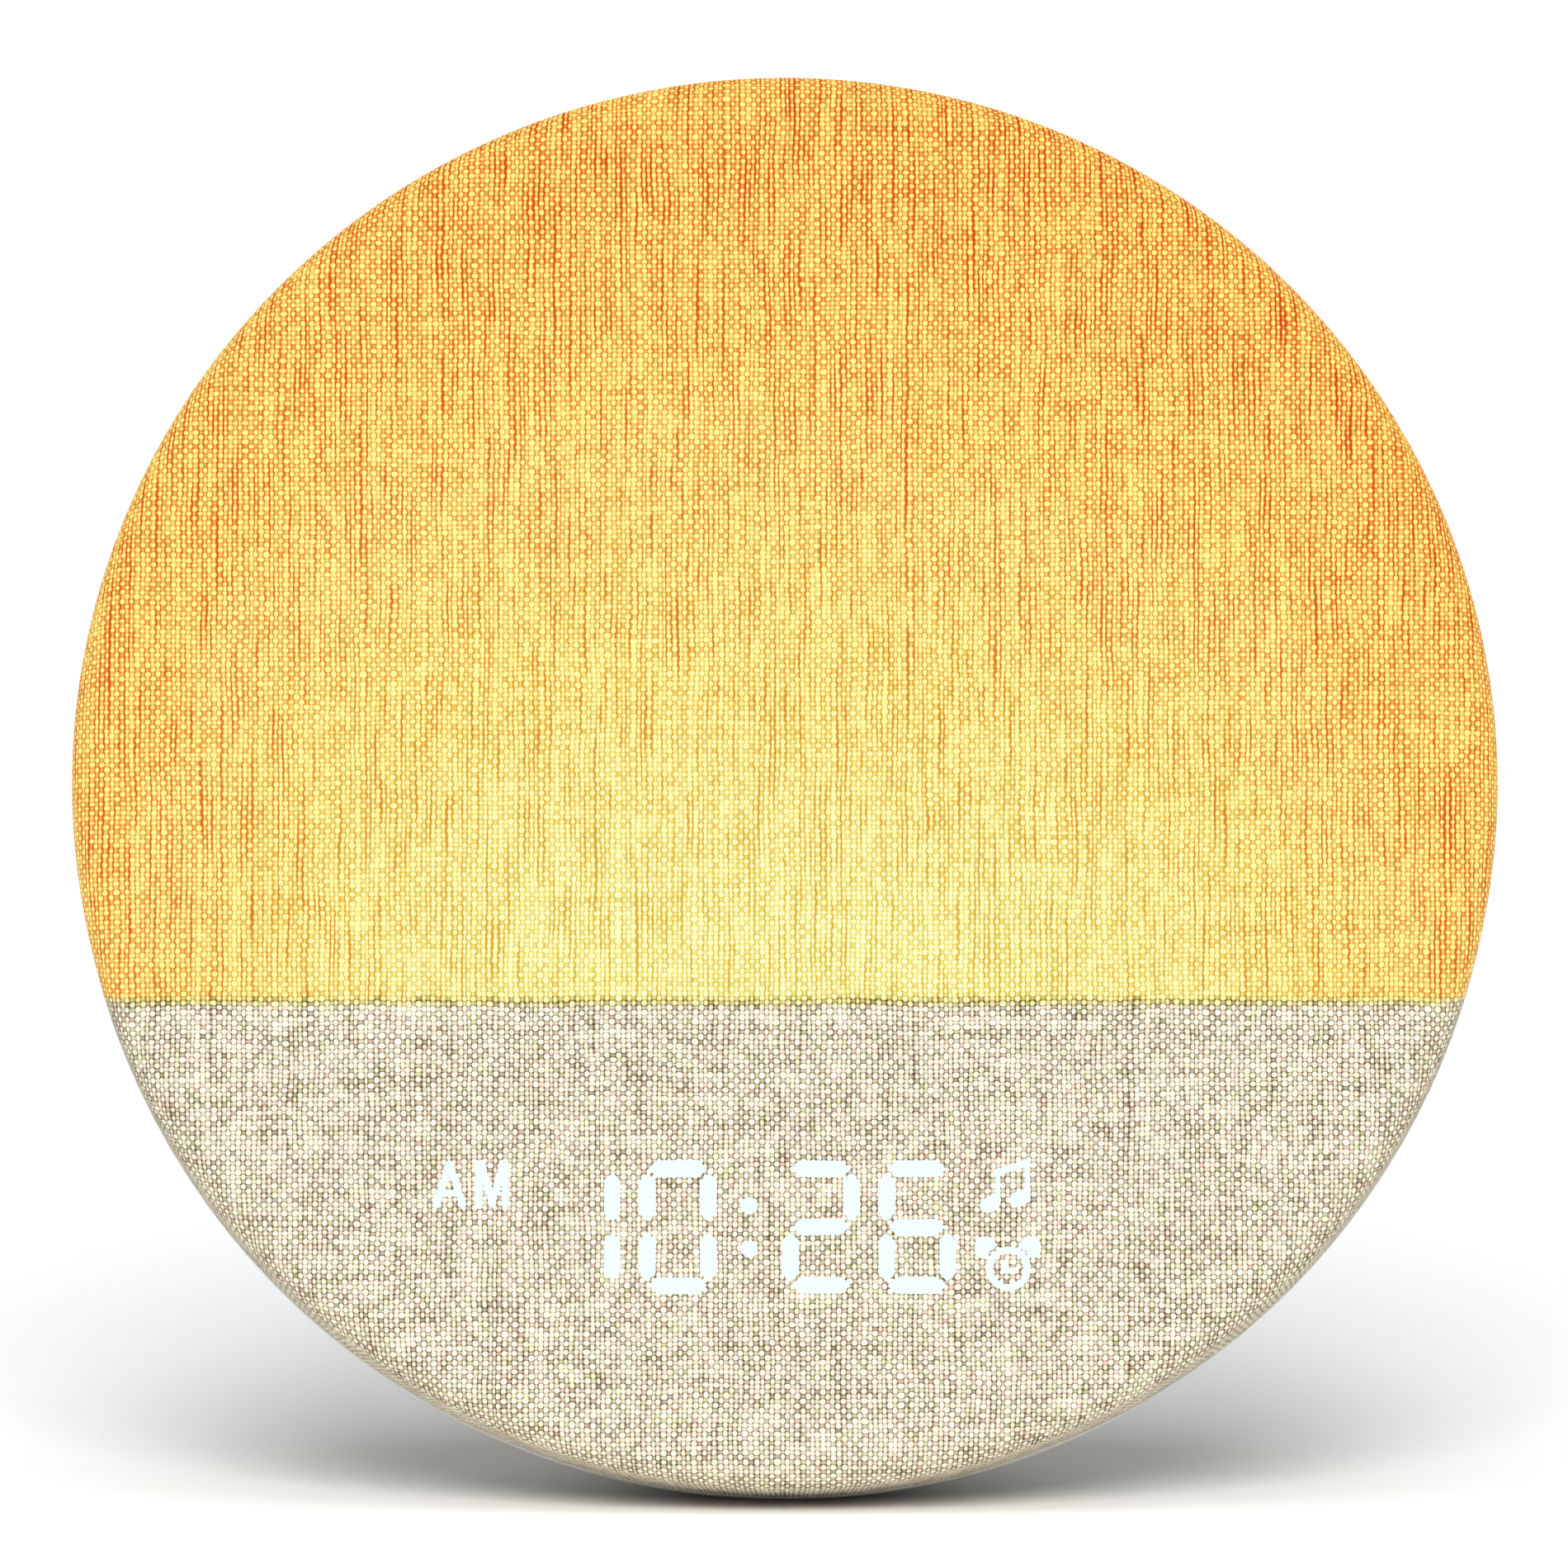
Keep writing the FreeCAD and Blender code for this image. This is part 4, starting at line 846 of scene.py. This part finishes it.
raised_lines("dial_pointer", "dial", mark_plastic, [
    (False, seen_from_behind(dial_middle.x, dial_middle.z, dial_back - 0.45,
                             [(0, 8.0), (0, 11.3)]))], 0.35)

# ---- push buttons ----
# Four satin caps with a raised line pictogram each: a bell clock for the alarm, a clock face for
# the time, a sun for the lamp and a note for the sound.

button_plastic = moulded("button_plastic", screen_colour(216, 213, 205),
                         screen_colour(205, 202, 193), 0.25, (0.36, 0.5))
button_plastic.dress("button_plastic")

PICTOGRAMS = {
    "alarm": [(True, circle(0, -0.3, 1.5)), (False, [(0, 0.5), (0, -0.3), (0.7, -0.3)]),
              (False, circle(-1.45, 1.25, 0.7, 45, 225, 8)),
              (False, circle(1.45, 1.25, 0.7, -45, 135, 8))],
    "clock": [(True, circle(0, 0, 2.0)), (False, [(0, 1.3), (0, 0), (0.95, -0.55)])],
    "light": [(True, circle(0, 0, 0.95))] + [
        (False, [(reach * math.cos(ray * math.pi / 4), reach * math.sin(ray * math.pi / 4))
                 for reach in (1.55, 2.3)]) for ray in range(8)],
    "sound": [(True, circle(-1.1, -1.4, 0.55, 0, 360, 12)),
              (True, circle(1.3, -0.9, 0.55, 0, 360, 12)),
              (False, [(-0.55, -1.4), (-0.55, 1.3), (1.85, 1.8), (1.85, -0.9)])],
}
for key, lines in PICTOGRAMS.items():
    low, high = local_box(f"{key}_button")
    drawn = [(closed, seen_from_behind((low.x + high.x) / 2, (low.z + high.z) / 2, high.y, points))
             for closed, points in lines]
    raised_lines(f"{key}_pictogram", f"{key}_key", mark_plastic, drawn, 0.13)

# ---- alarm switch marks ----
# A small bell stands beside the "on" end of the slide switch, and an open ring beside "off".

slide_low, slide_high = local_box("slide_switch_body")
slide_middle = (slide_low + slide_high) / 2
raised_lines("slide_marks", "clock", mark_plastic, [
    (closed, seen_from_behind(slide_middle.x, slide_middle.z, cover_back, points))
    for closed, points in (
        (True, circle(7.6, 0, 0.9)),
        (False, [(-8.9, -0.75), (-8.4, -0.2)] + circle(-7.6, 0.2, 0.8, 180, 0, 10)
         + [(-6.8, -0.2), (-6.3, -0.75), (-8.9, -0.75)]),
        (False, [(-7.9, -1.2), (-7.3, -1.2)]))])

# ---- snooze bar ----
# The bar follows the crown of the bowl. Five short ribs across it can be found with a fingertip.

snooze_low, snooze_high = local_box("snooze_button")
RIB_PITCH, RIB_INSET, RIB_STEPS = 3.4, 2.2, 8
rib_lines = []
for rib in range(-2, 3):
    points = []
    for step in range(RIB_STEPS + 1):
        run = snooze_high.y - snooze_low.y - 2 * RIB_INSET
        depth = snooze_low.y + RIB_INSET + run * step / RIB_STEPS
        above_bar = FACE @ Vector((rib * RIB_PITCH, depth, snooze_high.z + 5))
        on_bar = cad["snooze_button"].ray_cast(above_bar, -up)[1]
        points.append(on_face(on_bar))
    rib_lines.append((False, points))
raised_lines("snooze_ribs", "snooze", button_plastic, rib_lines, 0.4)

# ---- circuit boards and their parts ----
# Green-masked boards for the lamp and the keys carry small chips, sockets and a coin cell. None of
# it shows from outside.

board = Finish("circuit_board", Coat_Weight=0.4)
board_place = board.split(board.place())
tracks = board.new("ShaderNodeTexBrick", offset=0.37)
connect(tracks.inputs["Vector"], board.join(board_place[0], board_place[2], 0.0))
for socket, value in (("Scale", 0.5), ("Mortar Size", 0.05), ("Brick Width", 1.9),
                      ("Row Height", 0.6)):
    tracks.inputs[socket].default_value = value
tracks.inputs["Color1"].default_value = screen_colour(30, 92, 62)
tracks.inputs["Color2"].default_value = screen_colour(24, 82, 56)
tracks.inputs["Mortar"].default_value = screen_colour(46, 118, 78)
board.set("Base Color", board.wire(tracks.outputs["Color"]))
board.set("Roughness", board.noise(board.place(), 0.8, 2.0) * 0.2 + 0.25)
board.bump(board.wire(tracks.outputs["Fac"]), 0.4, 0.03 * MM)
board.dress("circuit_board")

moulded("chip_black", screen_colour(42, 42, 43), screen_colour(30, 30, 31), 0.2).dress("chip_black")
moulded("socket_plastic", screen_colour(236, 232, 220), screen_colour(226, 222, 209),
        0.3).dress("socket_plastic")
metal("cell_steel", (0.7, 0.69, 0.67, 1.0), (0.55, 0.54, 0.52, 1.0),
      (0.15, 0.3)).dress("cell_steel")
metal("plug_metal", (0.72, 0.71, 0.69, 1.0), (0.58, 0.57, 0.55, 1.0),
      (0.18, 0.32)).dress("plug_metal")


def glowing_part(name, slot, colour, strength):
    """A small part of the lights: a clear resin body that glows, cloudier in places."""
    finish = Finish(name, Coat_Weight=0.5)
    cloud = finish.noise(finish.place(), 1.2, 3.0)
    finish.set("Base Color", finish.mix(cloud, screen_colour(244, 240, 226),
                                        screen_colour(252, 250, 240)))
    finish.set("Roughness", cloud * 0.2 + 0.15)
    finish.set("Emission Color", finish.mix(cloud, colour, (1.0, 1.0, 1.0, 1.0)))
    finish.shader.inputs["Emission Strength"].default_value = strength
    finish.bump(cloud, 0.2, 0.02 * MM)
    finish.dress(slot)


glowing_part("lamp_chip", "lamp_chip", screen_colour(255, 196, 110), 1.5)
glowing_part("light_guide", "light_guide", screen_colour(236, 250, 255), 0.8)

# ---- loudspeaker ----
# A small full-range driver: pressed steel basket, ferrite magnet, paper cone and copper coil.

metal("speaker_steel", (0.5, 0.5, 0.5, 1.0), (0.36, 0.36, 0.37, 1.0),
      (0.3, 0.5)).dress("speaker_steel")
magnet = Finish("magnet_grey", Metallic=0.35)
specks = magnet.noise(magnet.place(), 3.0, 4.0, 0.75)
magnet.set("Base Color", magnet.mix(specks, screen_colour(58, 58, 60), screen_colour(82, 82, 84)))
magnet.set("Roughness", specks * 0.25 + 0.5)
magnet.bump(specks, 0.5, 0.05 * MM)
magnet.dress("magnet_grey")

paper = Finish("cone_paper", Sheen_Weight=0.15, Specular_IOR_Level=0.25)
pulp = paper.noise(paper.place(), 2.4, 5.0, 0.8)
paper.set("Base Color", paper.mix(pulp, screen_colour(34, 33, 32), screen_colour(64, 62, 59)))
paper.set("Roughness", pulp * 0.15 + 0.8)
paper.bump(pulp, 0.6, 0.06 * MM)
paper.dress("cone_paper")

copper = Finish("copper_wire", Metallic=1.0)
coil_place = copper.split(copper.place())
turns = (coil_place[1] * 18.0 + coil_place[2] * -4.5).math("SINE") * 0.5 + 0.5
# the copper is painted darker in the grooves between the turns, as shade
copper.set("Base Color", copper.mix(turns, (0.45, 0.16, 0.07, 1.0), (0.8, 0.36, 0.18, 1.0)))
copper.set("Roughness", turns * 0.15 + 0.28)
copper.bump(turns, 0.6, 0.08 * MM)
copper.dress("copper_wire")

moulded("lead_sleeve", screen_colour(60, 60, 62), screen_colour(44, 44, 46), 0.5,
        (0.4, 0.5)).dress("lead_sleeve")

# ---- floor ----
# A pale seamless floor that runs on far past the clock on every side.

FLOOR_REACH = 30.0
floor_mesh = bmesh.new()
bmesh.ops.create_grid(floor_mesh, x_segments=1, y_segments=1, size=FLOOR_REACH)
floor_data = bpy.data.meshes.new("floor")
floor_mesh.to_mesh(floor_data)
floor_mesh.free()
pale = Finish("studio_floor", Roughness=0.9, Specular_IOR_Level=0.0)
pale.set("Base Color", pale.mix(pale.noise(pale.place(1.0), 0.4), (0.93, 0.93, 0.93, 1.0),
                                (0.95, 0.95, 0.95, 1.0)))
floor_data.materials.append(pale.material)
floor = bpy.data.objects.new("floor", floor_data)
bpy.context.scene.collection.objects.link(floor)
